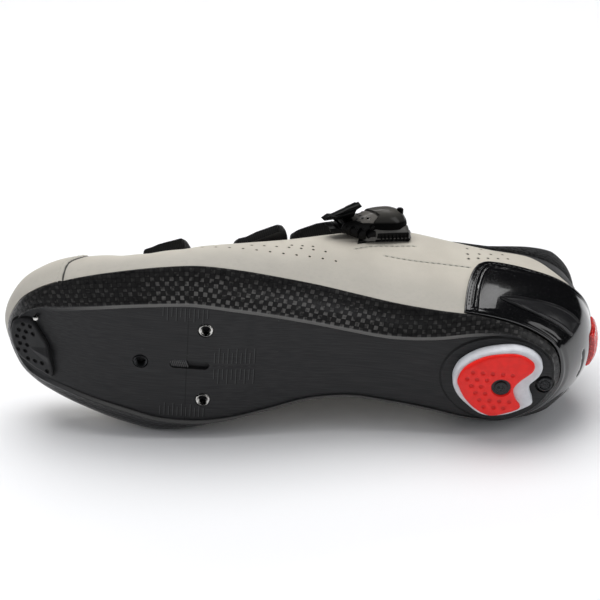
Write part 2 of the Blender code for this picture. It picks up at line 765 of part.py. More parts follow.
def collar_section(k):
    rise, lean, padding = collar_row(k)
    rise *= COLLAR_HEIGHT
    lean = np.array([lean * LENGTH, 0, 0])
    pad = padding * COLLAR_PAD
    near = -(WALL + GAP)
    lines = [1 - i / RIB_STEPS for i in (1, 2, 3)]
    up = np.array([0, 0, 1.0])
    edge = skin(k, 1.0)
    behind = skin(k, 1.0, -WALL - GAP)
    past = bezier_slope(rib_handles(k), 1.0)
    past *= 3 * GAP / np.linalg.norm(past)
    inward = (behind - edge) * (1, 1, 0)
    inward /= np.linalg.norm(inward)
    return [
        skin(k, lines[2], near),
        skin(k, lines[1], near),
        skin(k, lines[0], near),
        behind + past,
        edge + past + up * 0.30 * rise + 0.3 * lean,
        edge + past + up * 0.72 * rise + 0.75 * lean + inward * 0.10 * pad,
        edge + past + up * rise + lean + inward * (0.35 * pad + 0.5 * WALL),
        edge + past + up * 0.90 * rise + lean + inward * (0.85 * pad + WALL),
        edge + past + up * 0.30 * rise + inward * (pad + WALL) + 0.7 * lean,
        skin(k, 0.6 * lines[0] + 0.4 * lines[1], near - pad),
        skin(k, 0.6 * lines[1] + 0.4 * lines[2], near - 0.6 * pad),
        skin(k, lines[2], near - 0.22 * pad),
    ]


def make_collar():
    stations = between(-COLLAR_END, COLLAR_END, 1 / PER_STATION)
    return loft("collar_lining", [collar_section(k) for k in stations], "black_mesh")


def counter_top(k):
    places, tops = zip(*COUNTER_TOPS)
    return float(np.interp(abs(k), places, tops))


def counter_shares(k):
    """Shares of the rib at the counter's lines: the upper's own lines, the last one drawn to its top."""
    lines = [COUNTER_LOW] + [i / RIB_STEPS for i in range(1, RIB_STEPS)]
    top = counter_top(k)
    return [min(t, top - 0.012 * (RIB_STEPS - 1 - i)) for i, t in enumerate(lines)] + [top]


def make_counter():
    stations = between(-COUNTER_FRONT, COUNTER_FRONT, 1 / PER_STATION)
    outer = []
    inner = []
    for k in stations:
        shares = counter_shares(k)
        inner.append([skin(k, t, GAP) for t in shares])
        outer.append([skin(k, t, GAP + COUNTER * (0.7 if t in (shares[0], shares[-1]) else 1.0))
                      for t in shares])
    return sheet_solid("heel_counter", outer, inner, "glossy_black")


def make_arm(name, side):
    places, lows, highs = zip(*ARM_ROWS)
    low = 2 * GAP + COUNTER
    outer = []
    inner = []
    for k in between(places[0], places[-1], 0.5 / PER_STATION):
        shares = np.linspace(np.interp(k, places, lows), np.interp(k, places, highs), 5)
        inner.append([skin(side * k, t, low) for t in shares])
        outer.append([skin(side * k, t, low + ARM * (0.5 if t in (shares[0], shares[-1]) else 1.0))
                      for t in shares])
    return sheet_solid(name, outer, inner, "glossy_black")


def make_reflector():
    stations = between(-REFLECTOR_HALF, REFLECTOR_HALF, 0.5 / PER_STATION)
    shares = between(*REFLECTOR_SHARES, 1 / RIB_STEPS)
    low = 2 * GAP + COUNTER
    inner = [[skin(k, t, low) for t in shares] for k in stations]
    outer = [[skin(k, t, low + REFLECTOR * (0.45 if k in (stations[0], stations[-1]) else 1.0))
              for t in shares] for k in stations]
    return sheet_solid("heel_reflector", outer, inner, "red_pad")


def strap_shares(reach):
    """Shares of the section that follow the upper's own lines on both sides of the throat."""
    lines = [section_share(i / RIB_STEPS) for i in range(RIB_STEPS, -1, -1)]
    sides = [-s for s in reversed(lines)] + [-0.5 * BRIDGE, 0.0, 0.5 * BRIDGE] + lines
    kept = [s for s in sides if reach[0] + 0.01 < s < reach[1] - 0.01]
    return [reach[0]] + kept + [reach[1]]


def make_strap(name, stations, reach, thickness, rounding, heel_lift=0.0):
    """Band over the throat, its corners drawn in at both ends by the rounding, in stations.

    heel_lift raises the edge towards the heel at the outer end.
    """
    middle = 0.5 * (stations[0] + stations[1])
    outer = []
    inner = []
    for s in strap_shares(reach):
        end = min(s - reach[0], reach[1] - s) / (reach[1] - reach[0])
        narrow = rounding * max(0.0, 1 - end / 0.08) ** 2
        ks = between(stations[0] + narrow, stations[1] - narrow, 1 / PER_STATION)
        while len(ks) < len(between(*stations, 1 / PER_STATION)):
            ks.insert(len(ks) // 2, 0.5 * (ks[len(ks) // 2 - 1] + ks[len(ks) // 2]))
        lifts = []
        raised = []
        for i, k in enumerate(ks):
            raised.append(GAP + heel_lift * max(0.0, s / reach[1]) * max(0.0, middle + 0.3 - k))
            border = {0: STRAP_HEEL_BORDER, len(ks) - 1: STRAP_TOE_BORDER}.get(i, 1.0)
            lifts.append(raised[-1] + thickness * border)
        inner.append([over(k, s, lift) for k, lift in zip(ks, raised)])
        outer.append([over(k, s, lift) for k, lift in zip(ks, lifts)])
    return sheet_solid(name, outer, inner, "black_fabric", turned_lines=True)


# Buckle

def buckle_frame():
    origin = skin(BUCKLE_STATION, BUCKLE_SHARE)
    normal = skin(BUCKLE_STATION, BUCKLE_SHARE, 0.001) - origin
    normal /= np.linalg.norm(normal)
    toe = skin(BUCKLE_STATION + 0.4, BUCKLE_SHARE - 0.4 * BUCKLE_FALL) - origin
    toe -= normal * np.dot(toe, normal)
    toe /= np.linalg.norm(toe)
    return origin, toe, np.cross(normal, toe), normal


def framed(frame, a, b, c):
    origin, toe, across_axis, normal = frame
    return origin + toe * a + across_axis * b + normal * c


def slab(name, frame, layers, material, corners=6):
    """Solid of stacked rounded outlines: a layer gives its centre, its half length and depth and its lift."""
    sections = []
    for toe_at, half_length, half_depth, lift in layers:
        section = []
        for step in range(4 * corners):
            angle = 2 * math.pi * (step + 0.5) / (4 * corners)
            c, s = math.cos(angle), math.sin(angle)
            a = toe_at + half_length * math.copysign(abs(c) ** 0.6, c)
            b = half_depth * math.copysign(abs(s) ** 0.6, s)
            section.append(framed(frame, a, b, lift))
        sections.append(section)
    return loft(name, sections, material)


def make_base():
    """Block that follows the upper underneath and narrows to a flat top."""
    stations = between(*BASE_STATIONS, 0.5 / PER_STATION)
    outer = []
    inner = []
    for i, k in enumerate(stations):
        shares = np.linspace(*BASE_SHARES, 6) - BUCKLE_FALL * (k - BUCKLE_STATION)
        inner.append([skin(k, t, GAP) for t in shares])
        row = []
        for j, t in enumerate(shares):
            border = min(i, j, len(stations) - 1 - i, len(shares) - 1 - j)
            row.append(skin(k, t, GAP + BUCKLE_BASE * (0.18, 0.86, 1.0, 1.0)[border]))
        outer.append(row)
    return sheet_solid("buckle_base", outer, inner, "matte_black")


def make_buckle():
    frame = buckle_frame()
    low = BUCKLE_BASE + 3 * GAP
    length, depth = 0.5 * CAP_LENGTH, 0.5 * CAP_DEPTH
    cap = slab("buckle_cap", frame, (
        (0, 0.80 * length, 0.80 * depth, low),
        (0, length, depth, low + 0.15 * CAP_RISE),
        (0, 0.98 * length, 0.97 * depth, low + 0.35 * CAP_RISE),
        (0, 0.80 * length, 0.80 * depth, low + 0.72 * CAP_RISE),
        (0, 0.45 * length, 0.50 * depth, low + CAP_RISE),
    ), "matte_black")
    root = 0.66 * length + 2 * GAP
    sections = []
    for share, width, thickness in ((0.0, 0.80, 1.0), (0.35, 1.0, 1.0), (0.75, 0.95, 0.8), (1.0, 0.60, 0.4)):
        a = root + share * (LEVER_REACH - root)
        c = LEVER_ROOT + share * (LEVER_TIP - LEVER_ROOT)
        half = 0.5 * LEVER_WIDTH * width
        sections.append([framed(frame, a, b, c + lift) for b, lift in (
            (-half, 0.0), (half, 0.0), (half, 0.6 * LEVER * thickness), (0.6 * half, LEVER * thickness),
            (-0.6 * half, LEVER * thickness), (-half, 0.6 * LEVER * thickness))])
    lever = loft("buckle_lever", sections, "matte_black")
    return [make_base(), cap, lever]


# Rest

def world_points(objects):
    graph = bpy.context.evaluated_depsgraph_get()
    clouds = []
    for obj in objects:
        mesh = obj.evaluated_get(graph).to_mesh()
        mesh.calc_loop_triangles()
        points = np.array([v.co for v in mesh.vertices])
        faces = np.array([t.vertices for t in mesh.loop_triangles])
        clouds.append((points, faces, MATERIALS[obj.data.materials[0].name][3]))
        obj.evaluated_get(graph).to_mesh_clear()
    return clouds


def mass_centre(clouds):
    total = 0.0
    moment = np.zeros(3)
    for points, faces, density in clouds:
        a, b, c = (points[faces[:, i]] for i in range(3))
        volumes = np.einsum("ij,ij->i", a, np.cross(b, c)) / 6 * density
        total += volumes.sum()
        moment += ((a + b + c) / 4 * volumes[:, None]).sum(axis=0)
    return moment / total


def resting_face(points, centre):
    """Plane of the hull on the inner side that the shoe balances on, as a point and an outward normal."""
    bm = bmesh.new()
    for p in points:
        bm.verts.new(p)
    hull = bmesh.ops.convex_hull(bm, input=bm.verts)["geom"]
    best = None
    for face in (f for f in hull if isinstance(f, bmesh.types.BMFace)):
        corners = [np.array(v.co) for v in face.verts]
        normal = np.array(face.normal)
        if np.dot(normal, corners[0] - centre) < 0:
            normal = -normal
            corners.reverse()
        if normal[1] > -0.8:
            continue
        foot = centre + normal * np.dot(corners[0] - centre, normal)
        order = np.dot(np.cross(corners[1] - corners[0], corners[2] - corners[0]), normal)
        if order < 0:
            corners.reverse()
        inside = min(np.dot(np.cross(b - a, foot - a), normal) / np.linalg.norm(b - a)
                     for a, b in zip(corners, corners[1:] + corners[:1]))
        if best is None or inside > best[0]:
            best = (inside, corners[0], normal)
    bm.free()
    return best[1], best[2]


def lay_down(objects):
    """Parents the pieces to an empty that turns the shoe onto its inner side, toe towards -x, sole towards -y."""
    bpy.context.view_layer.update()
    clouds = world_points(objects)
    points = np.concatenate([cloud[0] for cloud in clouds])
    _, normal = resting_face(points, mass_centre(clouds))
    down = Vector(-normal)
    back = Vector((-1, 0, 0))
    back = (back - down * back.dot(down)).normalized()
    turn = Matrix((back, down.cross(back), down))
    laid = points @ np.array(turn).T
    low, high = laid.min(axis=0), laid.max(axis=0)
    shift = Vector((-0.5 * (low[0] + high[0]), -0.5 * (low[1] + high[1]), -low[2]))
    rest = bpy.data.objects.new("resting", None)
    bpy.context.scene.collection.objects.link(rest)
    rest.matrix_world = Matrix.Translation(shift) @ turn.to_4x4()
    for obj in list(bpy.context.scene.collection.objects):
        if obj is not rest:
            obj.parent = rest


def main():
    for obj in list(bpy.data.objects):
        bpy.data.objects.remove(obj)
    pieces = [make_outsole(), make_upper(), make_insole(), make_tongue(), make_collar(), make_counter()]
    pieces += make_nuts() + make_heel_pad() + make_heel_plug() + make_toe_pad()
    pieces += [make_arm("heel_arm_lateral", 1), make_arm("heel_arm_medial", -1), make_reflector()]
    pieces.append(make_strap("front_strap", FRONT_STRAP_STATIONS, STRAP_REACH, STRAP, 0.30,
                             FRONT_STRAP_LIFT))
    pieces.append(make_strap("mid_strap", MID_STRAP_STATIONS, STRAP_REACH, STRAP, 0.25,
                             MID_STRAP_LIFT))
    pieces.append(make_strap("instep_strap", INSTEP_STRAP_STATIONS, INSTEP_REACH, INSTEP_STRAP, 0.35))
    pieces += make_buckle()
    lay_down(pieces)


main()
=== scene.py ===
import math

import bmesh
import bpy
import numpy as np
from mathutils import Matrix, Vector
from mathutils.kdtree import KDTree


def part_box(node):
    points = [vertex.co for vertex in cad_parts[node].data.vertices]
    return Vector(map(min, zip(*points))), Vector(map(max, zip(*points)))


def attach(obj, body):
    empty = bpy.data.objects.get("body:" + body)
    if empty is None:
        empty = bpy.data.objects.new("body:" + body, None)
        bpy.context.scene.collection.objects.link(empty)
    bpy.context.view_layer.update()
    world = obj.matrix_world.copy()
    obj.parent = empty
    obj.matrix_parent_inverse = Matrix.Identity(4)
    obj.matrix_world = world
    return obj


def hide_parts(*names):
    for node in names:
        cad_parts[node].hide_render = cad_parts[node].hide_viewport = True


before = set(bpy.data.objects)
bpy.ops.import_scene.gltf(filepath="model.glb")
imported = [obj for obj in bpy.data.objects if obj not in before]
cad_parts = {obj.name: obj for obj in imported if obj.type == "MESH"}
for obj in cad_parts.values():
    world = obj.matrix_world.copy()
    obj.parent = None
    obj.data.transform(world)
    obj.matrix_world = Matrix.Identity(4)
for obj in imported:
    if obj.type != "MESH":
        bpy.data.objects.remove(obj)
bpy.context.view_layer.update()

scene = bpy.context.scene

# sizes of the last in metres: x from the heel, y to the outer side, z up from the sole
last = {"length": 0.276, "ball": 0.090, "instep": 0.087, "collar": 0.070, "toeRise": 0.026,
        "gap": 0.0003, "wall": 0.0020, "inset": 0.0006, "cleatPlane": 0.0040, "bridge": 0.26}
# middle of the two rear cleat inserts
insertMiddle = (0.183, -0.0003, 0.0057)

# a row for each station from heel to toe: along, outer, inner, rim, plate, outer band, inner band, lip
soleRows = (
    (0.076, 0.050, 0.050, 0.470, 0.315, 0.044, 0.044, 0.0),
    (0.087, 0.185, -0.070, 0.473, 0.315, 0.040, 0.040, 0.0),
    (0.116, 0.262, -0.182, 0.492, 0.315, 0.040, 0.040, 0.0),
    (0.163, 0.318, -0.258, 0.527, 0.320, 0.044, 0.040, 0.0),
    (0.225, 0.347, -0.260, 0.573, 0.340, 0.090, 0.040, 0.6),
    (0.290, 0.351, -0.232, 0.631, 0.395, 0.139, 0.040, 1.0),
    (0.355, 0.364, -0.214, 0.690, 0.445, 0.172, 0.040, 1.0),
    (0.420, 0.398, -0.200, 0.700, 0.450, 0.184, 0.040, 1.0),
    (0.486, 0.444, -0.226, 0.646, 0.392, 0.192, 0.040, 1.0),
    (0.551, 0.482, -0.296, 0.585, 0.304, 0.193, 0.045, 1.0),
    (0.616, 0.514, -0.369, 0.523, 0.200, 0.191, 0.062, 1.0),
    (0.681, 0.528, -0.442, 0.480, 0.150, 0.185, 0.111, 1.0),
    (0.743, 0.504, -0.470, 0.481, 0.150, 0.176, 0.144, 1.0),
    (0.804, 0.459, -0.442, 0.527, 0.176, 0.160, 0.156, 0.9),
    (0.862, 0.400, -0.393, 0.615, 0.252, 0.144, 0.144, 0.6),
    (0.913, 0.329, -0.341, 0.731, 0.385, 0.122, 0.128, 0.2),
    (0.953, 0.250, -0.281, 0.846, 0.538, 0.086, 0.095, 0.0),
    (0.982, 0.150, -0.192, 0.954, 0.685, 0.056, 0.062, 0.0),
    (1.000, -0.011, -0.011, 1.000, 0.750, 0.044, 0.044, 0.0),
)
# upper's edge: along, outer, inner, share of the collar height, share of the instep height
edgeRows = (
    (0.033, 0.039, 0.039, 1.00, 0.00), (0.044, 0.200, -0.115, 1.00, 0.00),
    (0.076, 0.300, -0.218, 1.02, 0.00), (0.125, 0.342, -0.268, 1.05, 0.00),
    (0.196, 0.358, -0.296, 1.06, 0.00), (0.268, 0.360, -0.300, 0.70, 0.33),
    (0.341, 0.310, -0.262, 0.20, 0.83), (0.399, 0.222, -0.204, 0.00, 1.015),
    (0.464, 0.176, -0.170, 0.00, 0.945), (0.529, 0.155, -0.156, 0.00, 0.850),
    (0.594, 0.140, -0.144, 0.00, 0.765), (0.656, 0.124, -0.132, 0.00, 0.685),
    (0.710, 0.104, -0.116, 0.00, 0.617), (0.754, 0.080, -0.096, 0.00, 0.563),
    (0.783, 0.052, -0.070, 0.00, 0.527), (0.797, 0.028, -0.048, 0.00, 0.510),
    (0.803, 0.012, -0.032, 0.00, 0.503), (0.806, 0.000, -0.020, 0.00, 0.500),
    (0.807, -0.010, -0.010, 0.00, 0.499),
)
# curve of the wall: belly out on the outer and the inner side, belly up, shoulder out, shoulder down
wallRows = (
    (0.222, 0.222, 0.200, 0.066, 0.200), (0.195, 0.195, 0.200, 0.066, 0.200),
    (0.135, 0.135, 0.205, 0.066, 0.195), (0.080, 0.085, 0.220, 0.066, 0.185),
    (0.055, 0.075, 0.250, 0.085, 0.165), (0.050, 0.095, 0.275, 0.140, 0.120),
    (0.050, 0.120, 0.295, 0.205, 0.080), (0.055, 0.140, 0.325, 0.300, 0.045),
    (0.055, 0.130, 0.315, 0.325, 0.035), (0.055, 0.100, 0.262, 0.330, 0.040),
    (0.050, 0.075, 0.215, 0.330, 0.040), (0.042, 0.055, 0.185, 0.330, 0.040),
    (0.036, 0.045, 0.165, 0.335, 0.040), (0.036, 0.042, 0.158, 0.365, 0.035),
    (0.050, 0.050, 0.188, 0.430, 0.018), (0.068, 0.058, 0.212, 0.485, 0.008),
    (0.078, 0.068, 0.222, 0.515, 0.004), (0.092, 0.084, 0.216, 0.535, 0.002),
    (0.098, 0.098, 0.208, 0.540, 0.002),
)
stations = len(soleRows) - 1
alongAt, rimAt, floorAt, lipAt, edgeAlongAt, edgeHeightAt, bellyUpAt, shoulderOutAt, shoulderDownAt = range(9)
sideAt, bandAt, edgeSideAt, bellyOutAt = range(9, 13)


def buildRing():
    outer, inner = [], []
    for sole, edge, wall in zip(soleRows, edgeRows, wallRows):
        height = edge[3] * last["collar"] + edge[4] * last["instep"]
        shared = [sole[0] * last["length"], sole[3] * last["toeRise"], sole[4] * last["toeRise"], sole[7],
                  edge[0] * last["length"], height]
        shared += [v * last["ball"] for v in wall[2:5]]
        outer.append(shared + [v * last["ball"] for v in (sole[1], sole[5], edge[1], wall[0])])
        inner.append(shared + [v * last["ball"] for v in (sole[2], sole[6], edge[2], wall[1])])
    return np.array(outer + inner[-2:0:-1])


ring = buildRing()


def unit(v):
    return v / np.maximum(np.linalg.norm(v, axis=-1, keepdims=True), 1e-12)


def blend(a, b, c, d, t):
    square, cube = 2 * a - 5 * b + 4 * c - d, 3 * b - a - 3 * c + d
    return 0.5 * (2 * b + (c - a) * t + square * t * t + cube * t ** 3)


def rowsAt(k):
    low = np.floor(k).astype(int)
    return blend(*(ring[(low + step) % len(ring)] for step in (-1, 0, 1, 2)), (k - low)[..., None])


def outward(k):
    run = (rowsAt(k + 0.05) - rowsAt(k - 0.05))[..., [alongAt, sideAt]]
    run = unit(run)
    return np.stack([-run[..., 1], run[..., 0], 0 * run[..., 0]], axis=-1)


def ribPoints(k):
    row = rowsAt(k)
    out = outward(k)
    up = np.array([0, 0, 1.0])

    def value(at):
        return row[..., at, None]

    foot = np.stack([row[..., alongAt], row[..., sideAt], row[..., rimAt] + last["gap"]], axis=-1)
    foot = foot - out * last["inset"]
    edge = np.stack([row[..., edgeAlongAt], row[..., edgeSideAt], row[..., edgeHeightAt]], axis=-1)
    lean = unit((foot - edge) * (1, 1, 0) + out * 0.30 * last["ball"])
    belly = foot + out * value(bellyOutAt) + up * value(bellyUpAt)
    shoulder = edge + lean * value(shoulderOutAt) - up * value(shoulderDownAt)
    return foot, belly, shoulder, edge


def curve(points, t):
    a, b, c, d = points
    s = 1 - t
    return s ** 3 * a + 3 * s * s * t * b + 3 * s * t * t * c + t ** 3 * d


def curveSlope(points, t):
    a, b, c, d = points
    s = 1 - t
    return 3 * s * s * (b - a) + 6 * s * t * (c - b) + 3 * t * t * (d - c)


def skin(k, t, lift=0.0):
    # point of the upper's outer face at station k and share t of the way up, lifted off it
    k, t, lift = np.broadcast_arrays(np.asarray(k, float), np.asarray(t, float), np.asarray(lift, float))
    share = t[..., None]
    run = curve(ribPoints(k + 0.08), share) - curve(ribPoints(k - 0.08), share)
    points = ribPoints(k)
    return curve(points, share) + unit(np.cross(curveSlope(points, share), run)) * lift[..., None]


def over(k, s, lift=0.0):
    # point of the section at station k, from the inner side (s -1) over the throat to the outer (s 1)
    k, s, lift = np.broadcast_arrays(np.asarray(k, float), np.asarray(s, float), np.asarray(lift, float))
    beside = skin(np.where(s < 0, -k, k), np.clip((1 - abs(s)) / (1 - last["bridge"]), 0, 1), lift)
    ends = [skin(side * k, 1.0, lift) for side in (-1, 1)]
    reach = np.linalg.norm(ends[1] - ends[0], axis=-1, keepdims=True) / 3
    pulls = [end + unit(curveSlope(ribPoints(side * k), 1.0)) * reach for side, end in zip((-1, 1), ends)]
    across = curve((ends[0], pulls[0], pulls[1], ends[1]), (0.5 + 0.5 * s / last["bridge"])[..., None])
    return np.where((abs(s) >= last["bridge"])[..., None], beside, across)


# the shoe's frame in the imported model, from its three cleat inserts
def middleOf(node):
    return sum(np.array(corner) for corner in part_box(node)) / 2


def findFrame():
    outer, inner, front = (middleOf("cleat_nut_" + n) for n in ("lateral", "medial", "front"))
    middle = (outer + inner) / 2
    y = unit(outer - inner)
    x = front - middle
    x = unit(x - y * (x @ y))
    turn = np.stack([x, y, np.cross(x, y)], axis=1)
    return turn, middle - turn @ np.array(insertMiddle)


turn, origin = findFrame()


def toWorld(points):
    return points @ turn.T + origin


print("stage: frame found")


# shader building
class Wire:
    # a socket with the usual operators
    def __init__(self, finish, socket):
        self.finish, self.socket = finish, socket

    def by(self, operation, *values):
        return self.finish.add("ShaderNodeMath", {"operation": operation}, dict(enumerate(values)))

    def __add__(self, other):
        return self.by("ADD", self, other)

    def __radd__(self, other):
        return self.by("ADD", other, self)

    def __sub__(self, other):
        return self.by("SUBTRACT", self, other)

    def __rsub__(self, other):
        return self.by("SUBTRACT", other, self)

    def __mul__(self, other):
        return self.by("MULTIPLY", self, other)

    def __rmul__(self, other):
        return self.by("MULTIPLY", other, self)

    def __truediv__(self, other):
        return self.by("DIVIDE", self, other)

    def __mod__(self, other):
        return self.by("FLOORED_MODULO", self, other)

    def __pow__(self, other):
        return self.by("POWER", self, other)

    def __abs__(self):
        return self.by("ABSOLUTE", self)

    def floor(self):
        return self.by("FLOOR", self)

    def sin(self):
        return self.by("SINE", self)

    def above(self, other):
        return self.by("GREATER_THAN", self, other)

    def below(self, other):
        return self.by("LESS_THAN", self, other)

    def within(self, low, high):
        return self.above(low) * self.below(high)

    def most(self, other):
        return self.by("MAXIMUM", self, other)


class Finish:
    # a material on the Principled shader, with the values that stay the same all over it
    def __init__(self, name, **fixed):
        self.material = bpy.data.materials.new(name)
        self.material.use_nodes = True
        self.tree = self.material.node_tree
        self.shader = self.tree.nodes["Principled BSDF"]
        for key, value in fixed.items():
            self.put(self.shader.inputs[spaced(key)], value)

    def put(self, spot, value):
        if isinstance(value, Wire):
            self.tree.links.new(value.socket, spot)
        elif isinstance(value, tuple) and len(value) == 3 and spot.type == "RGBA":
            spot.default_value = (*value, 1.0)
        else:
            spot.default_value = value

    def add(self, kind, settings, values, output=0):
        node = self.tree.nodes.new(kind)
        for key, value in settings.items():
            setattr(node, key, value)
        for key, value in values.items():
            self.put(node.inputs[key], value)
        return Wire(self, node.outputs[output])

    def mark(self, name, output="Fac"):
        return self.add("ShaderNodeAttribute", {"attribute_name": name}, {}, output)

    def place(self, scale=(1, 1, 1)):
        # millimetres in the shoe's frame, stretched
        vector = self.mark("place", "Vector")
        return self.add("ShaderNodeVectorMath", {"operation": "MULTIPLY"}, {0: vector, 1: scale})

    def parts(self, vector):
        node = self.add("ShaderNodeSeparateXYZ", {}, {0: vector}).socket.node
        return [Wire(self, socket) for socket in node.outputs]

    def noise(self, vector, scale, detail=2.0):
        return self.add("ShaderNodeTexNoise", {}, {"Vector": vector, "Scale": scale, "Detail": detail}, "Fac")

    def cells(self, vector, scale):
        return self.add("ShaderNodeTexVoronoi", {}, {"Vector": vector, "Scale": scale}, "Distance")

    def fade(self, value, low, high):
        return self.add("ShaderNodeMapRange", {"interpolation_type": "SMOOTHSTEP"},
                        {"Value": value, "From Min": low, "From Max": high})

    def mix(self, share, first, second):
        return self.add("ShaderNodeMix", {"data_type": "RGBA"}, {0: share, 6: first, 7: second}, 2)

    def bump(self, height, strength=1.0):
        # height in millimetres
        values = {"Height": height, "Distance": 0.001, "Strength": strength}
        return self.add("ShaderNodeBump", {}, values, "Normal")

    def wear(self, **inputs):
        for key, value in inputs.items():
            self.put(self.shader.inputs[spaced(key)], value)
        return self.material


def spaced(key):
    # baseColor -> Base Color
    if key == "specularLevel":
        return "Specular IOR Level"
    return "".join(" " + c if c.isupper() else c for c in key).title()


# mesh building
def gridFaces(rows, columns, closedRows=False, closedColumns=False, shift=0):
    i, j = np.meshgrid(np.arange(rows if closedRows else rows - 1),
                       np.arange(columns if closedColumns else columns - 1), indexing="ij")
    nextI, nextJ = (i + 1) % rows, (j + 1) % columns
    corners = (i * columns + j, nextI * columns + j, nextI * columns + nextJ, i * columns + nextJ)
    return (np.stack(corners, axis=-1).reshape(-1, 4) + shift).tolist()


def tubeFaces(rows, columns, shift=0):
    # rings joined into a tube with closed ends
    far = shift + (rows - 1) * columns
    ends = [tuple(range(shift, shift + columns)), tuple(range(far, far + columns))]
    return gridFaces(rows, columns, closedColumns=True, shift=shift) + ends


def fullTurn(count):
    return np.linspace(0, 2 * math.pi, count, endpoint=False)


def joined(parts):
    points, faces = [], []
    for more, moreFaces in parts:
        faces += [tuple(v + len(points) for v in face) for face in moreFaces]
        points += list(more)
    return points, faces


def slab(first, second, width=0.0):
    # solid between two outlines with equal counts of points, its edges rounded to a width
    count = len(first)
    bm = bmesh.new()
    corners = [bm.verts.new(p) for p in (*first, *second)]
    bm.faces.new(corners[:count])
    bm.faces.new(corners[count:])
    for i in range(count):
        j = (i + 1) % count
        bm.faces.new((corners[i], corners[j], corners[count + j], corners[count + i]))
    bmesh.ops.recalc_face_normals(bm, faces=bm.faces)
    if width:
        edges = [e for e in bm.edges if e.calc_face_angle() > 0.4]
        bmesh.ops.bevel(bm, geom=edges, offset=width, segments=2, profile=0.5, affect="EDGES",
                        clamp_overlap=True)
    bm.verts.index_update()
    made = [tuple(v.co) for v in bm.verts], [tuple(v.index for v in f.verts) for f in bm.faces]
    bm.free()
    return made


def makePiece(name, points, faces, material, slot, nodes=(), marks=None, sharp=45):
    points = np.asarray(points, float).reshape(-1, 3)
    mesh = bpy.data.meshes.new(name)
    mesh.from_pydata(toWorld(points).tolist(), [], faces)
    for key, values in {"place": points * 1000, **(marks or {})}.items():
        kind = "FLOAT_VECTOR" if np.ndim(values) == 2 else "FLOAT"
        layer = mesh.attributes.new(key, kind, "POINT")
        part = "vector" if kind == "FLOAT_VECTOR" else "value"
        layer.data.foreach_set(part, np.ravel(values).astype(np.float32))
    bm = bmesh.new()
    bm.from_mesh(mesh)
    bmesh.ops.recalc_face_normals(bm, faces=bm.faces)
    bm.to_mesh(mesh)
    bm.free()
    mesh.shade_smooth()
    mesh.set_sharp_from_angle(angle=math.radians(sharp))
    mesh.materials.append(material)
    piece = bpy.data.objects.new(name, mesh)
    scene.collection.objects.link(piece)
    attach(piece, "root")
    if nodes:
        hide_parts(*nodes)
    return piece


def makeSheet(name, outer, inner, material, slot, marks=None, **more):
    # closed piece between two grids of points
    rows, columns = outer.shape[:2]
    size = rows * columns
    faces = gridFaces(rows, columns) + gridFaces(rows, columns, shift=size)
    border = [i * columns for i in range(rows)] + [(rows - 1) * columns + j for j in range(1, columns)]
    border += [i * columns + columns - 1 for i in range(rows - 2, -1, -1)] + list(range(columns - 2, 0, -1))
    for a, b in zip(border, border[1:] + border[:1]):
        faces.append((a, b, b + size, a + size))
    doubled = {key: np.tile(values.ravel(), 2) for key, values in (marks or {}).items()}
    points = np.concatenate([outer.reshape(-1, 3), inner.reshape(-1, 3)])
    return makePiece(name, points, faces, material, slot, marks=doubled, **more)


def smoothLine(stops, count):
    stops = np.array(stops, float)
    wide = np.vstack([2 * stops[0] - stops[1], stops, 2 * stops[-1] - stops[-2]])
    u = np.linspace(0, len(stops) - 1, count)
    i = np.minimum(u.astype(int), len(stops) - 2)
    return blend(wide[i], wide[i + 1], wide[i + 2], wide[i + 3], (u - i)[:, None])


def smoothLoop(stops, perSpan):
    stops = np.array(stops, float)
    u = np.arange(len(stops) * perSpan) / perSpan
    i = u.astype(int)
    return blend(*(stops[(i + step) % len(stops)] for step in (-1, 0, 1, 2)), (u - i)[:, None])


def nearLine(points, line):
    # distance from each point to a line, and how far along the line that is
    best = np.full(len(points), 1.0)
    along = np.zeros(len(points))
    reached = 0.0
    for a, b in zip(line, line[1:]):
        run = b - a
        size = max(np.linalg.norm(run), 1e-9)
        share = np.clip((points - a) @ run / size ** 2, 0, 1)
        away = np.linalg.norm(points - a - share[:, None] * run, axis=1)
        closer = away < best
        best[closer] = away[closer]
        along[closer] = reached + share[closer] * size
        reached += size
    return best, along


def fromBorder(grid, every):
    # distance of each point of a grid from the line around it
    border = np.concatenate([grid[:, 0], grid[-1], grid[::-1, -1], grid[0, ::-1]])[::every]
    return nearLine(grid.reshape(-1, 3), border)[0].reshape(grid.shape[:2])


def lineMeasures(line):
    steps = np.linalg.norm(np.diff(line, axis=0), axis=1)
    return np.concatenate([[0], np.cumsum(steps)])


def closedLoop(outline):
    return np.vstack([outline, outline[:1]])


def raised(xy):
    # points of the plane as points in space
    return np.column_stack([xy, np.zeros(len(xy))])


def evenPlaces(line, normals, pitch, ends=True):
    # centres at an even pitch along a line, with the tangent and the normal there
    measures = lineMeasures(line)
    count = max(2, int(round(measures[-1] / pitch)) + (1 if ends else 0))
    at = np.linspace(0, measures[-1], count) if ends else (np.arange(count) + 0.5) / count * measures[-1]

    def pick(values):
        return np.stack([np.interp(at, measures, values[:, c]) for c in range(3)], axis=1)

    tangents = unit(np.gradient(line, measures, axis=0))
    return pick(line), unit(pick(tangents)), unit(pick(normals))


def skinLine(stops, count, lift=0.0, side=1):
    # smooth line on the upper through (station, share) stops, with its normals
    places = smoothLine(stops, count)
    line = skin(side * places[:, 0], places[:, 1], lift)
    return line, unit(skin(side * places[:, 0], places[:, 1], lift + 0.001) - line)


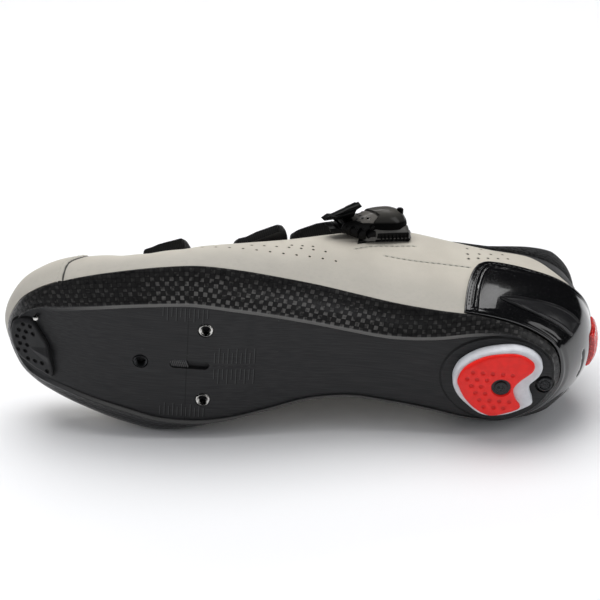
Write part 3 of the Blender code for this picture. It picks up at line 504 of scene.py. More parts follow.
def stitchPoints(line, normals, pitch, size, radius):
    # small rounded threads lying along a line
    centres, tangents, ups = evenPlaces(line, normals, pitch, ends=False)
    sides = np.cross(ups, tangents)
    lengths, angles = np.linspace(-1, 1, 7), fullTurn(6)
    points, faces = [], []
    for centre, ahead, side, up in zip(centres, tangents, sides, ups):
        base = len(points)
        for u in lengths:
            width = radius * math.sqrt(max(0.02, 1 - u ** 6))
            sink = radius * (0.35 - 1.1 * u ** 4)
            for angle in angles:
                points.append(centre + ahead * u * size / 2 + side * width * math.cos(angle)
                              + up * (sink + width * math.sin(angle)))
        faces += tubeFaces(len(lengths), len(angles), base)
    return points, faces


def makeStitches(name, lines, thread, material, slot):
    sizes = (thread["pitch"], thread["length"], thread["radius"])
    points, faces = joined(stitchPoints(line, normals, *sizes) for line, normals in lines)
    makePiece(name, points, faces, material, slot, sharp=80)


def stamped(places, rings, sides=16):
    # small turned forms: rings of radius and height at each centre, with its tangent and normal
    points, faces = [], []
    for centre, ahead, up in places:
        across = np.cross(up, ahead)
        faces += gridFaces(len(rings), sides, closedColumns=True, shift=len(points))
        points += [centre + radius * (ahead * math.cos(a) + across * math.sin(a)) + height * up
                   for radius, height in rings for a in fullTurn(sides)]
    return points, faces


def domed(distance, radius):
    # 0 at an edge to 1 a radius away from it, in a quarter round
    share = np.clip(distance / radius, 0, 1)
    return np.sqrt(1 - (1 - share) ** 2)


def step(value, low, high):
    share = np.clip((value - low) / (high - low), 0, 1)
    return share * share * (3 - 2 * share)


print("stage: tools ready")


# upper
upperLook = {"rows": 640, "columns": 96, "lining": 12, "colour": (0.515, 0.478, 0.408),
             "shade": (0.455, 0.420, 0.357), "meshColour": (0.016, 0.016, 0.017), "toeCapRise": 0.00075,
             "grooveDepth": 0.00022, "grooveWidth": 0.0008, "creaseDepth": 0.00032, "creaseWidth": 0.0042,
             "meshDrop": 0.00025, "meshEnd": 4.6}
toeCapEdge = ((14.85, -0.02), (14.80, 0.10), (14.70, 0.25), (14.40, 0.37), (14.35, 0.47), (14.75, 0.55),
              (15.6, 0.60), (16.8, 0.625), (18.0, 0.63))
heelSeam = ((6.45, 0.36), (5.65, 0.39), (4.90, 0.44), (4.26, 0.49))
buckleSeam = ((7.25, 0.36), (6.95, 0.40), (6.55, 0.445), (6.10, 0.49), (5.62, 0.55))
innerSeam = ((8.6, 0.52), (7.4, 0.44), (6.2, 0.40), (5.2, 0.42), (4.26, 0.49))
meshEdge = ((4.6, 1.06), (3.90, 0.985), (3.40, 0.975), (3.00, 0.955), (2.65, 0.89), (2.30, 0.81),
            (1.95, 0.765), (1.5, 0.735), (0.8, 0.72), (0.0, 0.72))
flexCreases = (((12.6, 0.10), (12.45, 0.35), (12.6, 0.62)), ((13.3, 0.08), (13.2, 0.30), (13.35, 0.55)),
               ((11.6, 0.30), (11.5, 0.52), (11.7, 0.72)))


def microfibre():
    f = Finish("warmGreyMicrofibre", sheenWeight=0.10, sheenRoughness=0.5, coatWeight=0.05, coatRoughness=0.5)
    place = f.place()
    nap = f.noise(place, 2.4, 3.0)
    cloud = f.fade(f.noise(place, 0.055, 3.0), 0.3, 0.7)
    grey = f.mix(cloud, upperLook["shade"], upperLook["colour"])
    grey = f.mix(0.22 * f.fade(nap, 0.42, 0.72), grey, (0.56, 0.545, 0.485))
    # painted shade: the upper darker towards the sole and lighter at the top, where the light falls
    grey = f.mix(0.36 * (1 - f.fade(f.mark("share"), 0.08, 0.44)), grey, (0.27, 0.262, 0.245))
    # painted shadow along the sole's lip; the noise called dust only makes this painted shadow patchy
    low = 1 - f.fade(f.mark("share"), 0.0, 0.30)
    dust = f.fade(f.noise(place, 0.5, 4.0), 0.45, 0.75)
    grey = f.mix(low * (0.18 + 0.22 * dust), grey, (0.30, 0.29, 0.26))
    grey = f.mix(0.5 * (1 - f.fade(f.mark("seam"), 0.15, 1.0)), grey, (0.27, 0.26, 0.23))
    # painted shadow: near-black line along the toe cap's raised edge
    grey = f.mix(1 - f.fade(abs(f.mark("cap") + 0.15), 0.22, 0.50), grey, (0.030, 0.028, 0.026))
    # black knitted mesh above the heel and the dark lining inside
    knit = f.cells(f.place((1, 1, 1.3)), 0.75)
    black = f.mix(f.fade(knit, 0.2, 0.75), (0.030, 0.030, 0.031), upperLook["meshColour"])
    dark = f.fade(f.mark("meshZone"), -0.15, 0.15).most(f.mark("inside"))
    binding = 1 - f.fade(f.mark("edge"), 0.7, 0.95)
    colour = f.mix(dark, grey, black)
    # black binding along the top edge, and painted shade where the heel cup covers the upper's foot
    colour = f.mix(binding.most(f.mark("shadedUnderCup")), colour, (0.008, 0.008, 0.008))
    roughness = 0.58 + 0.12 * nap + 0.15 * dark
    leather = 0.035 * nap + 0.05 * f.noise(place, 0.9, 2.0)
    height = leather * (1 - dark) + 0.30 * dark * f.fade(knit, 0.1, 0.8)
    return f.wear(baseColor=colour, roughness=roughness, normal=f.bump(height, 0.55))


def makeUpper():
    rows, columns = upperLook["rows"], upperLook["columns"]
    k = np.arange(rows) * 2 * stations / rows
    k = np.where(k > stations, k - 2 * stations, k)
    kk, tt = np.meshgrid(k, np.linspace(0, 1, columns), indexing="ij")
    flat = skin(kk, tt).reshape(-1, 3)
    lateral = (kk >= 0).ravel()
    seam = np.full(len(flat), 0.05)
    cap, meshZone, creases = np.zeros((3, len(flat)))
    for side in (1, -1):
        own = lateral if side == 1 else ~lateral
        points = flat[own]
        edgeLine = smoothLine(toeCapEdge, 60)
        away, _ = nearLine(points, skinLine(toeCapEdge, 60, side=side)[0])
        kAt, tAt = abs(kk.ravel()[own]), tt.ravel()[own]
        # toe side of the cap's edge: below its line past the turn, beyond it before the turn
        turnK = edgeLine[:, 0].argmin()
        low, high = edgeLine[:turnK + 1], edgeLine[turnK:]
        inside = np.where(tAt < low[-1, 1], kAt > np.interp(tAt, low[:, 1], low[:, 0]),
                          (tAt < np.interp(kAt, high[:, 0], high[:, 1])) & (kAt > low[-1, 0]))
        cap[own] = np.where(inside, away, -away)
        away, _ = nearLine(points, skinLine(meshEdge, 60, side=side)[0])
        edgeT = np.interp(kAt, *smoothLine(meshEdge, 60)[::-1].T)
        meshZone[own] = np.where((tAt > edgeT) & (kAt < upperLook["meshEnd"]), away, -away)
        seams = [toeCapEdge, heelSeam, buckleSeam] if side == 1 else [toeCapEdge, innerSeam]
        for stops in seams + [meshEdge]:
            seam[own] = np.minimum(seam[own], nearLine(points, skinLine(stops, 50, side=side)[0])[0])
        for stops in flexCreases:
            away, _ = nearLine(points, skinLine(stops, 24, side=side)[0])
            creases[own] += np.exp(-(away / upperLook["creaseWidth"]) ** 2)
    lift = upperLook["toeCapRise"] * step(cap, -0.0002, 0.0006)
    lift -= upperLook["grooveDepth"] * np.exp(-(seam / upperLook["grooveWidth"]) ** 2)
    lift -= upperLook["creaseDepth"] * creases
    lift -= upperLook["meshDrop"] * step(meshZone, -0.0003, 0.0003)
    outer = skin(kk, tt, lift.reshape(kk.shape))
    wall = last["wall"]
    ribs = [outer]
    for angle in (30, 70, 110, 150):  # rounded top edge
        a = math.radians(angle)
        up = unit(skin(k, 1.0) - skin(k, 0.97)) * 0.5 * wall * math.sin(a)
        ribs.append((skin(k, 1.0, -wall * 0.5 * (1 - math.cos(a))) + up)[:, None])
    top = columns + len(ribs) - 1
    kIn, tIn = np.meshgrid(k, np.linspace(1, 0, upperLook["lining"]), indexing="ij")
    ribs.append(skin(kIn, tIn, -wall))
    points = np.concatenate(ribs, axis=1)
    total = points.shape[1]

    def spread(values, edge, rest):
        # a mark on the outer face, with one value on the rounded edge and one on the lining
        full = np.full((rows, total), float(rest))
        full[:, :columns] = np.reshape(values, (rows, columns))
        full[:, columns:top] = edge
        return full

    marks = {"share": spread(tt, 1, 0), "inside": spread(0 * tt, 1, 1),
             "edge": spread(np.linalg.norm(outer - outer[:, -1:], axis=-1) * 1000, 0, 9),
             "seam": spread(seam * 1000, 9, 9), "meshZone": spread(meshZone * 1000, -9, -9),
             "cap": spread(cap * 1000, -9, -9), "shadedUnderCup": spread((abs(kk) < 4.24) & (tt < 0.03), 0, 0)}
    marks["share"][:, top:] = tIn
    marks = {key: values.ravel() for key, values in marks.items()}
    faces = gridFaces(rows, total, True, True)
    makePiece("upperShell", points, faces, microfibre(), "grey_microfibre", ["upper"], marks, sharp=80)


makeUpper()
print("stage: upper")

# thread and punched holes of the upper
threadLook = {"pitch": 0.0027, "length": 0.0019, "radius": 0.00026, "colour": (0.42, 0.41, 0.36),
              "blackColour": (0.018, 0.018, 0.018)}
holeLook = {"radius": 0.00070, "lip": 0.00012}
# rows of holes: stops on the upper, then the count of holes
holeRows = (((11.05, 0.350), (9.65, 0.275), (8.90, 0.245), (7.65, 0.222), 11),
            ((9.85, 0.370), (8.90, 0.335), (7.95, 0.300), 7),
            ((4.45, 0.780), (4.30, 0.830), (4.15, 0.880), 2),
            ((4.40, 0.670), (4.18, 0.730), (3.95, 0.785), (3.65, 0.850), 4),
            ((4.35, 0.600), (4.15, 0.650), (3.95, 0.695), (3.50, 0.770), 5),
            ((8.85, 0.372), (8.58, 0.362), (8.30, 0.354), 3))


def threadFinish(name, colour):
    f = Finish(name, roughness=0.7, sheenWeight=0.2)
    x, y = f.parts(f.place())[:2]
    twist = (x * 18 + y * 18).sin()
    tone = f.mix(0.5 + 0.5 * twist, tuple(0.75 * c for c in colour), tuple(min(1, 1.15 * c) for c in colour))
    return f.wear(baseColor=tone, normal=f.bump(0.05 * twist, 0.5))


greyThread = threadFinish("greyThread", threadLook["colour"])
blackThread = threadFinish("blackThread", threadLook["blackColour"])


capSeam = [(k + 0.16, t) for k, t in toeCapEdge[:-1]]
upperSeams = [skinLine(heelSeam, 90, -0.0001), skinLine(buckleSeam, 90, -0.0001),
              skinLine(capSeam, 120, 0.0006), skinLine(innerSeam, 120, -0.0001, -1),
              skinLine(capSeam, 120, 0.0006, -1)]
makeStitches("upperStitches", upperSeams, threadLook, greyThread, "grey_microfibre")


def makeHoles():
    shape = ((0.0, 0.02), (0.84, 0.02), (0.98, 0.06), (1.2, 1.0), (1.5, 0.75), (1.8, -0.6))
    rings = [(radius * holeLook["radius"], height * holeLook["lip"]) for radius, height in shape]
    places = []
    for *stops, count in holeRows:
        for side in (1, -1):
            line, normals = skinLine(stops, 40, side=side)
            places += zip(*evenPlaces(line, normals, lineMeasures(line)[-1] / (count - 1)))
    points, faces = stamped(places, rings)
    pits = np.tile(np.repeat([float(radius < 0.9) for radius, _ in shape], 16), len(places))
    f = Finish("punchedHole", roughness=0.8)
    grain = f.noise(f.place(), 2.4, 3.0)
    grey = f.mix(grain, upperLook["shade"], upperLook["colour"])
    # dark centre of each hole: painted shade inside the hole, over the black lining seen through it
    colour = f.mix(f.mark("pit"), grey, (0.004, 0.004, 0.004))
    material = f.wear(baseColor=colour, normal=f.bump(0.03 * grain, 0.5))
    makePiece("punchedHoles", points, faces, material, "grey_microfibre", marks={"pit": pits}, sharp=80)


makeHoles()
print("stage: seams and holes")

# sole
soleLook = {"rows": 480, "columns": 57, "plate": 0.0042, "ledge": 0.0036, "rimEdge": 0.0016,
            "lipWidth": 0.0022, "lipHeight": 0.0012, "footbed": 0.0016, "weave": 2.15}
# raised disc round the heel pad and engraved gauge, in millimetres
discLook = {"at": (48.5, 2.0), "size": (27.5, 22.8)}
gaugeLook = {"pitch": 2.0, "line": 0.24, "side": (180.8, 203.2), "outer": (22.6, 29.6),
             "inner": (-21.8, -28.6),
             "middle": (158.8, 179.2), "middleHalf": (1.5, 9.6), "dashes": (158.8, 180.6), "scribe": 190.9,
             "scribeHalf": 33.0}
holesLook = {"nutRadius": 0.0036, "nutTop": 0.0095, "slotAt": (0.1897, -0.0003), "slotSize": (0.0180, 0.0044),
             "slotTop": 0.0061, "plugAt": (0.0275, 0.0012), "plugRadius": 0.0046, "plugTop": 0.0103,
             "below": -0.002}
nutPlaces = {"lateral": (0.183, 0.01845), "medial": (0.183, -0.01905), "front": (0.212, -0.0003)}


def floorOf(row):
    return np.maximum(row[..., floorAt], last["cleatPlane"])


def soleProfile(k):
    row = rowsAt(k)
    floor = floorOf(row)
    rim, band = row[..., rimAt], row[..., bandAt]
    depth = rim - floor
    drop = row[..., lipAt] * soleLook["lipHeight"]
    lip = np.minimum(soleLook["lipWidth"], 0.3 * band)
    ledge = 0 * band + soleLook["ledge"]
    insets = np.stack([ledge + soleLook["footbed"], ledge, 0 * band, 0.05 * band, 0.30 * band, 0.62 * band,
                       band - lip, band - 0.15 * lip, band], axis=-1)
    heights = np.stack([floor + soleLook["plate"], rim, rim,
                        rim - np.minimum(soleLook["rimEdge"], 0.4 * depth),
                        floor + 0.42 * depth, floor + 0.14 * depth, floor - drop, floor - drop, floor],
                       axis=-1)
    spans = ((0, 1, 3), (1, 2, 3), (2, 3, 3), (3, 6, 21), (6, 7, 5), (7, 8, 4))
    u = np.concatenate([np.linspace(a, b, n + 1)[:-1] for a, b, n in spans] + [[8.0]])
    i = np.minimum(u.astype(int), 7)
    t = u - i
    values = []
    for table in (insets, heights):
        straight = table[..., i] * (1 - t) + table[..., i + 1] * t
        wide = np.concatenate([table[..., :1], table, table[..., -1:]], axis=-1)
        bent = blend(wide[..., i], wide[..., i + 1], wide[..., i + 2], wide[..., i + 3], t)
        mixed = np.where((u >= 3) & (u <= 6), bent, straight)
        mixed[..., 1:-1] = 0.25 * mixed[..., :-2] + 0.5 * mixed[..., 1:-1] + 0.25 * mixed[..., 2:]
        values.append(mixed)
    inset, height = values
    base = np.stack([row[..., alongAt], row[..., sideAt], 0 * band], axis=-1)[:, None]
    points = base - outward(k)[:, None] * inset[..., None]
    points[..., 2] += height
    return points, u


def soleHeight(x, y):
    # height of the underside between the inner edges of its two bands
    heights, sides = [], []
    for sign in (1, -1):
        k = sign * np.arange(0.5, stations + 0.01, 0.25)
        row = rowsAt(k)
        inset = outward(k) * row[:, bandAt, None]
        alongs = row[:, alongAt] - inset[:, 0]
        heights.append(np.interp(x, alongs, floorOf(row)))
        sides.append(np.interp(x, alongs, row[:, sideAt] - inset[:, 1]))
    share = np.clip((y - sides[1]) / np.maximum(sides[0] - sides[1], last["gap"]), 0, 1)
    return heights[0] * share + heights[1] * (1 - share)


def capOver(points, border, columns, relief):
    # cross lines between the two sides of a border ring; adds to points and returns the faces
    count = len(border)
    half = count // 2
    table = np.zeros((half + 1, columns), int)
    table[0], table[half] = border[0], border[half]
    shares = np.linspace(0, 1, columns)[1:-1, None]
    for i in range(1, half):
        a, b = points[border[i]], points[border[count - i]]
        line = a * (1 - shares) + b * shares
        line[:, 2] += relief(line)
        table[i, 0], table[i, -1] = border[i], border[count - i]
        table[i, 1:-1] = len(points) + np.arange(columns - 2)
        points.extend(line)
    faces = []
    for i in range(half):
        for j in range(columns - 1):
            face = [table[i, j], table[i + 1, j], table[i + 1, j + 1], table[i, j + 1]]
            faces.append(tuple(int(v) for n, v in enumerate(face) if v not in face[:n]))
    return faces


def soleFinish():
    f = Finish("carbonPlate", coatRoughness=0.14, specularLevel=0.28)
    place = f.place()
    x, y = f.parts(place)[:2]
    along, across, band = f.mark("along"), f.mark("across"), f.mark("band")
    # plain weave of flat tows; the light squares are painted sheen of one set of tows, brightened by painted
    # light
    u, v = along / soleLook["weave"], across / soleLook["weave"]
    turned = (u.floor() + v.floor()) % 2
    fu, fv = u % 1, v % 1
    lengthwise = (fv * math.pi).sin() * (0.6 + 0.4 * (fu * math.pi).sin())
    crosswise = (fu * math.pi).sin() * (0.6 + 0.4 * (fv * math.pi).sin())
    tow = turned * lengthwise + (1 - turned) * crosswise
    fibres = (turned * fv + (1 - turned) * fu) * 44
    tone = f.noise(place, 0.45, 2.0)
    # painted light: a pool of light along the middle of the shoe and near the band's edge by the plate
    lit = f.fade(x, 88, 128) * (1 - f.fade(x, 188, 222)) * 0.7 + 0.3
    lit = lit * (f.fade(across, -19, -8) * 0.75 + 0.25)
    square = f.fade(abs(fu - 0.5).most(abs(fv - 0.5)) * -1, -0.47, -0.40)
    light = turned * (0.15 + 1.3 * f.fade(tone, 0.32, 0.68)) * square * lit + (1 - turned) * square * 0.10
    border = (1 - f.fade(abs(fu - 0.5), 0.40, 0.46)) * (1 - f.fade(abs(fv - 0.5), 0.40, 0.46))
    light = light + 0.16 * lit * (1 - border) * f.fade(f.noise(place, 0.8, 2.0), 0.45, 0.65)
    # painted shade: the weave darkened on the inner side
    outer = f.fade(y, -12, 2)
    weave = f.mix(light * outer, (0.0035, 0.0035, 0.004), (0.105, 0.102, 0.098))
    # matte plate with fine lengthwise lines
    lines = f.noise(f.place((0.05, 3.2, 1)), 1.0, 3.0)
    grain = f.noise(place, 3.5, 2.0)
    matte = f.mix(f.fade(lines, 0.35, 0.7), (0.011, 0.011, 0.012), (0.023, 0.023, 0.024))
    # engraved gauge: ticks on both sides and in the middle, one long scribed line
    gauge = gaugeLook
    pitch = gauge["pitch"]
    offset = (x + 0.5 * pitch) % pitch - 0.5 * pitch
    second = ((x + 0.5 * pitch) / pitch).floor() % 2
    outerTicks = y.within(gauge["outer"][0] + 2.2 * second, gauge["outer"][1])
    innerTicks = y.within(gauge["inner"][1], gauge["inner"][0] - 1.8 * second)
    middle = abs(y + 0.3)
    midTicks = middle.within(gauge["middleHalf"][0], gauge["middleHalf"][1] - 2.4 * second)
    ticks = x.within(*gauge["side"]) * (outerTicks + innerTicks) + x.within(*gauge["middle"]) * midTicks
    dashes = x.within(*gauge["dashes"]) * (x % 3.4).below(2.2) * middle.below(0.16)
    scribe = abs(x - gauge["scribe"]).below(0.16) * abs(y).below(gauge["scribeHalf"])
    marks = (abs(offset).below(gauge["line"]) * ticks).most(dashes).most(scribe) * (1 - band)
    matte = f.mix(0.85 * marks, matte, (0.002, 0.002, 0.002))
    glint = abs(offset - 0.45).below(0.14) * ticks * (1 - band)
    matte = f.mix(0.5 * glint, matte, (0.085, 0.085, 0.086))
    # scratches and dust from wear
    scratch = f.fade(f.noise(f.place((0.30, 0.9, 1)), 1.1, 6.0), 0.70, 0.78) * (1 - band)
    matte = f.mix(0.16 * scratch, matte, (0.22, 0.22, 0.21))
    # raised disc around the heel pad
    (atX, atY), (sizeX, sizeY) = discLook["at"], discLook["size"]
    away = (((x - atX) / sizeX) ** 2 + ((y - atY) / sizeY) ** 2) ** 0.5
    disc = (1 - f.fade(away, 0.955, 0.98)) * (1 - band)
    # painted shade: dark ring along the raised disc's edge
    matte = f.mix((1 - f.fade(abs(away - 0.985), 0.006, 0.02)) * 0.8, matte, (0.003, 0.003, 0.003))
    colour = f.mix(band, matte, weave)
    # painted highlight along the lip, brighter on the outer side
    colour = f.mix(f.mark("lip") * (0.35 + 0.45 * outer), colour, (0.150, 0.147, 0.140))
    roughness = band * (0.36 - 0.08 * turned) + (1 - band) * (0.44 + 0.10 * grain + 0.10 * lines)
    height = band * 0.11 * tow + band * 0.006 * fibres.sin() + (1 - band) * (0.012 * lines + 0.010 * grain)
    return f.wear(baseColor=colour, roughness=roughness, coatWeight=0.16 * band + 0.03,
                  normal=f.bump(height - 0.22 * marks + 0.45 * disc, 0.8))


def makeSole():
    rows = soleLook["rows"]
    k = np.arange(rows) * 2 * stations / rows
    profile, u = soleProfile(k)
    columns = profile.shape[1]
    points = list(profile.reshape(-1, 3))
    faces = gridFaces(rows, columns, closedRows=True)

    def relief(line):
        away = np.linalg.norm((line[:, :2] * 1000 - discLook["at"]) / discLook["size"], axis=1)
        return -0.00045 * (1 - step(away, 0.96, 1.0)) - 0.00035 * np.exp(-((away - 0.955) / 0.018) ** 2)

    faces += capOver(points, [i * columns + columns - 1 for i in range(rows)], soleLook["columns"], relief)
    faces += capOver(points, [i * columns for i in range(rows)], 10, lambda line: 0.0)
    points = np.array(points)
    # measures along and across the band
    run = lineMeasures(closedLoop(profile[:, 20])) * 1000
    run = np.minimum(run, run[-1] - run)[:-1]
    steps = np.linalg.norm(np.diff(profile, axis=1), axis=2)
    ribs = np.column_stack([np.zeros(rows), np.cumsum(steps, axis=1)]) * 1000
    ribs -= ribs[:, -1:]
    isBand = np.broadcast_to(u < 6.3, ribs.shape).astype(float)
    lip = ((u > 6.15) & (u < 7.3)) * np.clip(rowsAt(k)[:, lipAt, None] * 1.2, 0, 1)
    marks = {"along": run[:, None] + 0 * ribs, "across": ribs, "band": isBand, "lip": lip}
    for key, values in marks.items():
        marks[key] = np.concatenate([values.ravel(), np.zeros(len(points) - ribs.size)])
    piece = makePiece("soleShell", points, faces, soleFinish(), "carbon_plate", ["outsole"], marks, sharp=60)
    cutHoles(piece, points, marks)


def roundOutline(centre, radius, count):
    return [(centre[0] + radius * math.cos(a), centre[1] + radius * math.sin(a)) for a in fullTurn(count)]


def cutHoles(piece, points, marks):
    look = holesLook
    slotLength, slotWidth = look["slotSize"]
    slot = [(look["slotAt"][0] + side * 0.5 * (slotLength - slotWidth) + 0.5 * slotWidth * math.cos(a),
             look["slotAt"][1] + 0.5 * slotWidth * math.sin(a))
            for side, start in ((1, -90), (-1, 90)) for a in np.radians(start + np.arange(0, 181, 15))]
    cuts = [(roundOutline(place, look["nutRadius"], 48), look["nutTop"]) for place in nutPlaces.values()]
    cuts += [(slot, look["slotTop"]), (roundOutline(look["plugAt"], look["plugRadius"], 48), look["plugTop"])]
    corners, faces = joined(slab(*(toWorld(np.array([(*p, z) for p in outline]))
                                   for z in (look["below"], top)))
                            for outline, top in cuts)
    cutterMesh = bpy.data.meshes.new("cutters")
    cutterMesh.from_pydata(corners, [], faces)
    cutter = bpy.data.objects.new("cutters", cutterMesh)
    scene.collection.objects.link(cutter)
    modifier = piece.modifiers.new("holes", "BOOLEAN")
    modifier.operation, modifier.solver, modifier.object = "DIFFERENCE", "EXACT", cutter
    bpy.context.view_layer.update()
    cutMesh = bpy.data.meshes.new_from_object(piece.evaluated_get(bpy.context.evaluated_depsgraph_get()))
    piece.modifiers.clear()
    piece.data = cutMesh
    bpy.data.objects.remove(cutter)
    # marks from the nearest point of the uncut mesh
    tree = KDTree(len(points))
    for i, p in enumerate(toWorld(points)):
        tree.insert(p, i)
    tree.balance()
    near = np.array([tree.find(v.co)[1] for v in cutMesh.vertices])
    for key, values in marks.items():
        layer = cutMesh.attributes.get(key) or cutMesh.attributes.new(key, "FLOAT", "POINT")
        layer.data.foreach_set("value", values[near].astype(np.float32))
    own = (np.array([v.co for v in cutMesh.vertices]) - origin) @ turn * 1000
    layer = cutMesh.attributes.get("place") or cutMesh.attributes.new("place", "FLOAT_VECTOR", "POINT")
    layer.data.foreach_set("vector", own.ravel().astype(np.float32))
    print("sole cut:", len(points), "->", len(cutMesh.vertices), "points")


makeSole()
print("stage: sole")

# heel cup with its stitched border, arms and reflector
cupLook = {"rows": 168, "columns": 84, "low": 0.006, "colour": (0.0045, 0.0045, 0.005)}
cupTop = ((0.0, 0.780), (0.5, 0.748), (1.0, 0.700), (1.5, 0.660), (2.0, 0.640), (2.7, 0.636), (3.3, 0.640),
          (3.70, 0.634), (3.96, 0.605), (4.12, 0.540))
cupFront = ((4.30, 0.006), (4.285, 0.120), (4.265, 0.250), (4.235, 0.370), (4.19, 0.465), (4.12, 0.540))
# height in millimetres at a distance in millimetres from the top and front edge, and from the lower edge
cupBorder = ((0, 0.25), (0.35, 0.95), (0.9, 1.22), (3.0, 1.12), (3.3, 1.45), (3.8, 1.85), (4.4, 1.5),
             (4.7, 1.1),
             (5.2, 1.45), (5.7, 1.62), (6.2, 1.30), (7.2, 1.36), (14, 1.75), (40, 1.80))
cupHem = ((0, 0.25), (0.4, 1.2), (0.9, 1.62), (1.5, 1.5), (2.0, 1.25), (4.0, 1.8), (60, 1.9))
cupStitchLine = ((4.19, 0.06), (4.17, 0.20), (4.135, 0.34), (4.07, 0.455), (3.88, 0.560), (3.55, 0.596),
                 (2.9, 0.598), (2.2, 0.600), (1.5, 0.62), (0.9, 0.67), (0.0, 0.742))
# arms of the cup: station, lower and upper share of the wall
armRows = ((1.00, 0.150, 0.285), (1.15, 0.135, 0.292), (1.75, 0.130, 0.282), (2.30, 0.130, 0.265),
           (2.90, 0.145, 0.238), (3.30, 0.170, 0.215), (3.45, 0.188, 0.203))
reflectorLook = {"half": 0.42, "shares": (0.40, 0.70), "base": 0.0021, "height": 0.0026,
                 "colour": (0.50, 0.010, 0.010)}


def gloss(name, colour, roughness, coat):
    f = Finish(name, coatWeight=coat, coatRoughness=0.05)
    place = f.place()
    dust = f.fade(f.noise(place, 1.3, 5.0), 0.55, 0.8)
    smear = f.noise(f.place((1, 1, 0.4)), 0.12, 3.0)
    tone = f.mix(0.05 * dust, colour, (0.30, 0.30, 0.29))
    height = 0.05 * f.noise(place, 0.25, 2.0) + 0.006 * f.noise(place, 3.0, 2.0)
    roughness = roughness + 0.14 * smear + 0.18 * dust
    return f.wear(baseColor=tone, roughness=roughness, normal=f.bump(height, 0.6))


glossyBlack = gloss("glossyBlack", cupLook["colour"], 0.07, 1.0)
satinArm = gloss("satinArm", (0.014, 0.014, 0.015), 0.26, 0.35)


def makeCup():
    # patch between the top line, the front line, the lower edge and the middle of the heel, mirrored
    rows, columns, low = cupLook["rows"], cupLook["columns"], cupLook["low"]
    top, front = smoothLine(cupTop, rows), smoothLine(cupFront, columns)
    bottom = np.column_stack([top[:, 0] * front[0, 0] / top[-1, 0], np.full(rows, low)])
    back = np.column_stack([np.zeros(columns), np.linspace(low, top[0, 1], columns)])
    a, b = np.linspace(0, 1, rows)[:, None, None], np.linspace(0, 1, columns)[None, :, None]
    half = (1 - b) * bottom[:, None] + b * top[:, None] + (1 - a) * back[None] + a * front[None]
    half -= (1 - a) * ((1 - b) * bottom[0] + b * top[0]) + a * ((1 - b) * bottom[-1] + b * top[-1])
    kt = np.concatenate([half[:0:-1] * (-1, 1), half])
    kk, t = kt[..., 0], kt[..., 1]
    base = skin(kk, t, last["gap"])
    flat = base.reshape(-1, 3)
    around = np.concatenate([base[0, ::3], base[::3, -1], base[-1, ::-3]])
    toTop = nearLine(flat, around)[0] * 1000
    toLow = nearLine(flat, base[::3, 0])[0] * 1000
    height = np.minimum(np.interp(toTop, *zip(*cupBorder)), np.interp(toLow, *zip(*cupHem)))
    slit = nearLine(flat, skinLine(((-0.38, 0.212), (-0.05, 0.222), (0.30, 0.232)), 24)[0])[0] * 1000
    height -= 1.3 * (1 - step(slit, 0.5, 1.3))
    outer = skin(kk, t, last["gap"] + height.reshape(t.shape) / 1000)
    makeSheet("heelCup", outer, skin(kk, t, 0.5 * last["gap"]), glossyBlack, "glossy_black",
              nodes=["heel_counter"], sharp=70)
    lines = [skinLine(cupStitchLine, 160, 0.00135, side) for side in (1, -1)]
    thread = {**threadLook, "pitch": 0.0024, "length": 0.0018, "radius": 0.00030}
    makeStitches("cupStitches", lines, thread, blackThread, "glossy_black")


def makeArms():
    places, lows, highs = (np.array(column) for column in zip(*armRows))
    k = np.linspace(places[0], places[-1], 150)
    low, high = np.interp(k, places, lows), np.interp(k, places, highs)
    low, high = (np.convolve(np.pad(v, 5, mode="edge"), np.ones(11) / 11, mode="valid") for v in (low, high))
    share = np.linspace(0, 1, 34)
    t = low[:, None] + (high - low)[:, None] * share
    kk = np.broadcast_to(k[:, None], t.shape)
    relief = ((0, 0.1), (0.25, 1.3), (0.6, 2.0), (0.95, 1.75), (1.4, 1.2), (4.0, 1.5), (9.0, 1.7))
    arms = ((1, "armOuter", "heel_arm_lateral", 0.9), (-1, "armInner", "heel_arm_medial", 0.2))
    for side, name, node, blunt in arms:
        away = fromBorder(skin(side * kk, t, 0.0019), 2) * 1000
        height = np.interp(away, *zip(*relief)) / 1000
        height *= np.interp(kk, (1.0, 1.7, 3.0, 3.45), (blunt, 1, 1, 0.55))
        makeSheet(name, skin(side * kk, t, 0.0019 + height), skin(side * kk, t, 0.0012), satinArm,
                  "glossy_black", nodes=[node], sharp=60)


def makeReflector():
    look = reflectorLook
    k = np.linspace(-look["half"], look["half"], 25)
    t = np.linspace(*look["shares"], 57)
    kk, tt = np.meshgrid(k, t, indexing="ij")
    acrossShare = abs(kk) / look["half"]
    alongShare = (tt - look["shares"][0]) / (look["shares"][1] - look["shares"][0])
    ridge = abs((alongShare * 7) % 1 - 0.5) * 2
    height = look["height"] * (0.45 + 0.55 * domed(1 - acrossShare, 0.6))
    height = height * domed(1 - abs(2 * alongShare - 1), 0.16)
    height = height * 0.72 + 0.0007 * ridge * (1 - acrossShare ** 2)
    f = Finish("redReflector", roughness=0.12, coatWeight=0.8)
    facets = f.cells(f.place(), 0.9)
    # painted reflection: facets painted lighter red, cell by cell
    red = f.mix(f.fade(facets, 0.1, 0.7), (0.85, 0.035, 0.025), look["colour"])
    material = f.wear(baseColor=red, normal=f.bump(0.12 * facets, 0.6))
    makeSheet("heelReflector", skin(kk, tt, look["base"] + height), skin(kk, tt, 0.0014), material, "red_pad",
              nodes=["heel_reflector"], sharp=18)


makeCup()
makeArms()
makeReflector()
print("stage: heel cup")

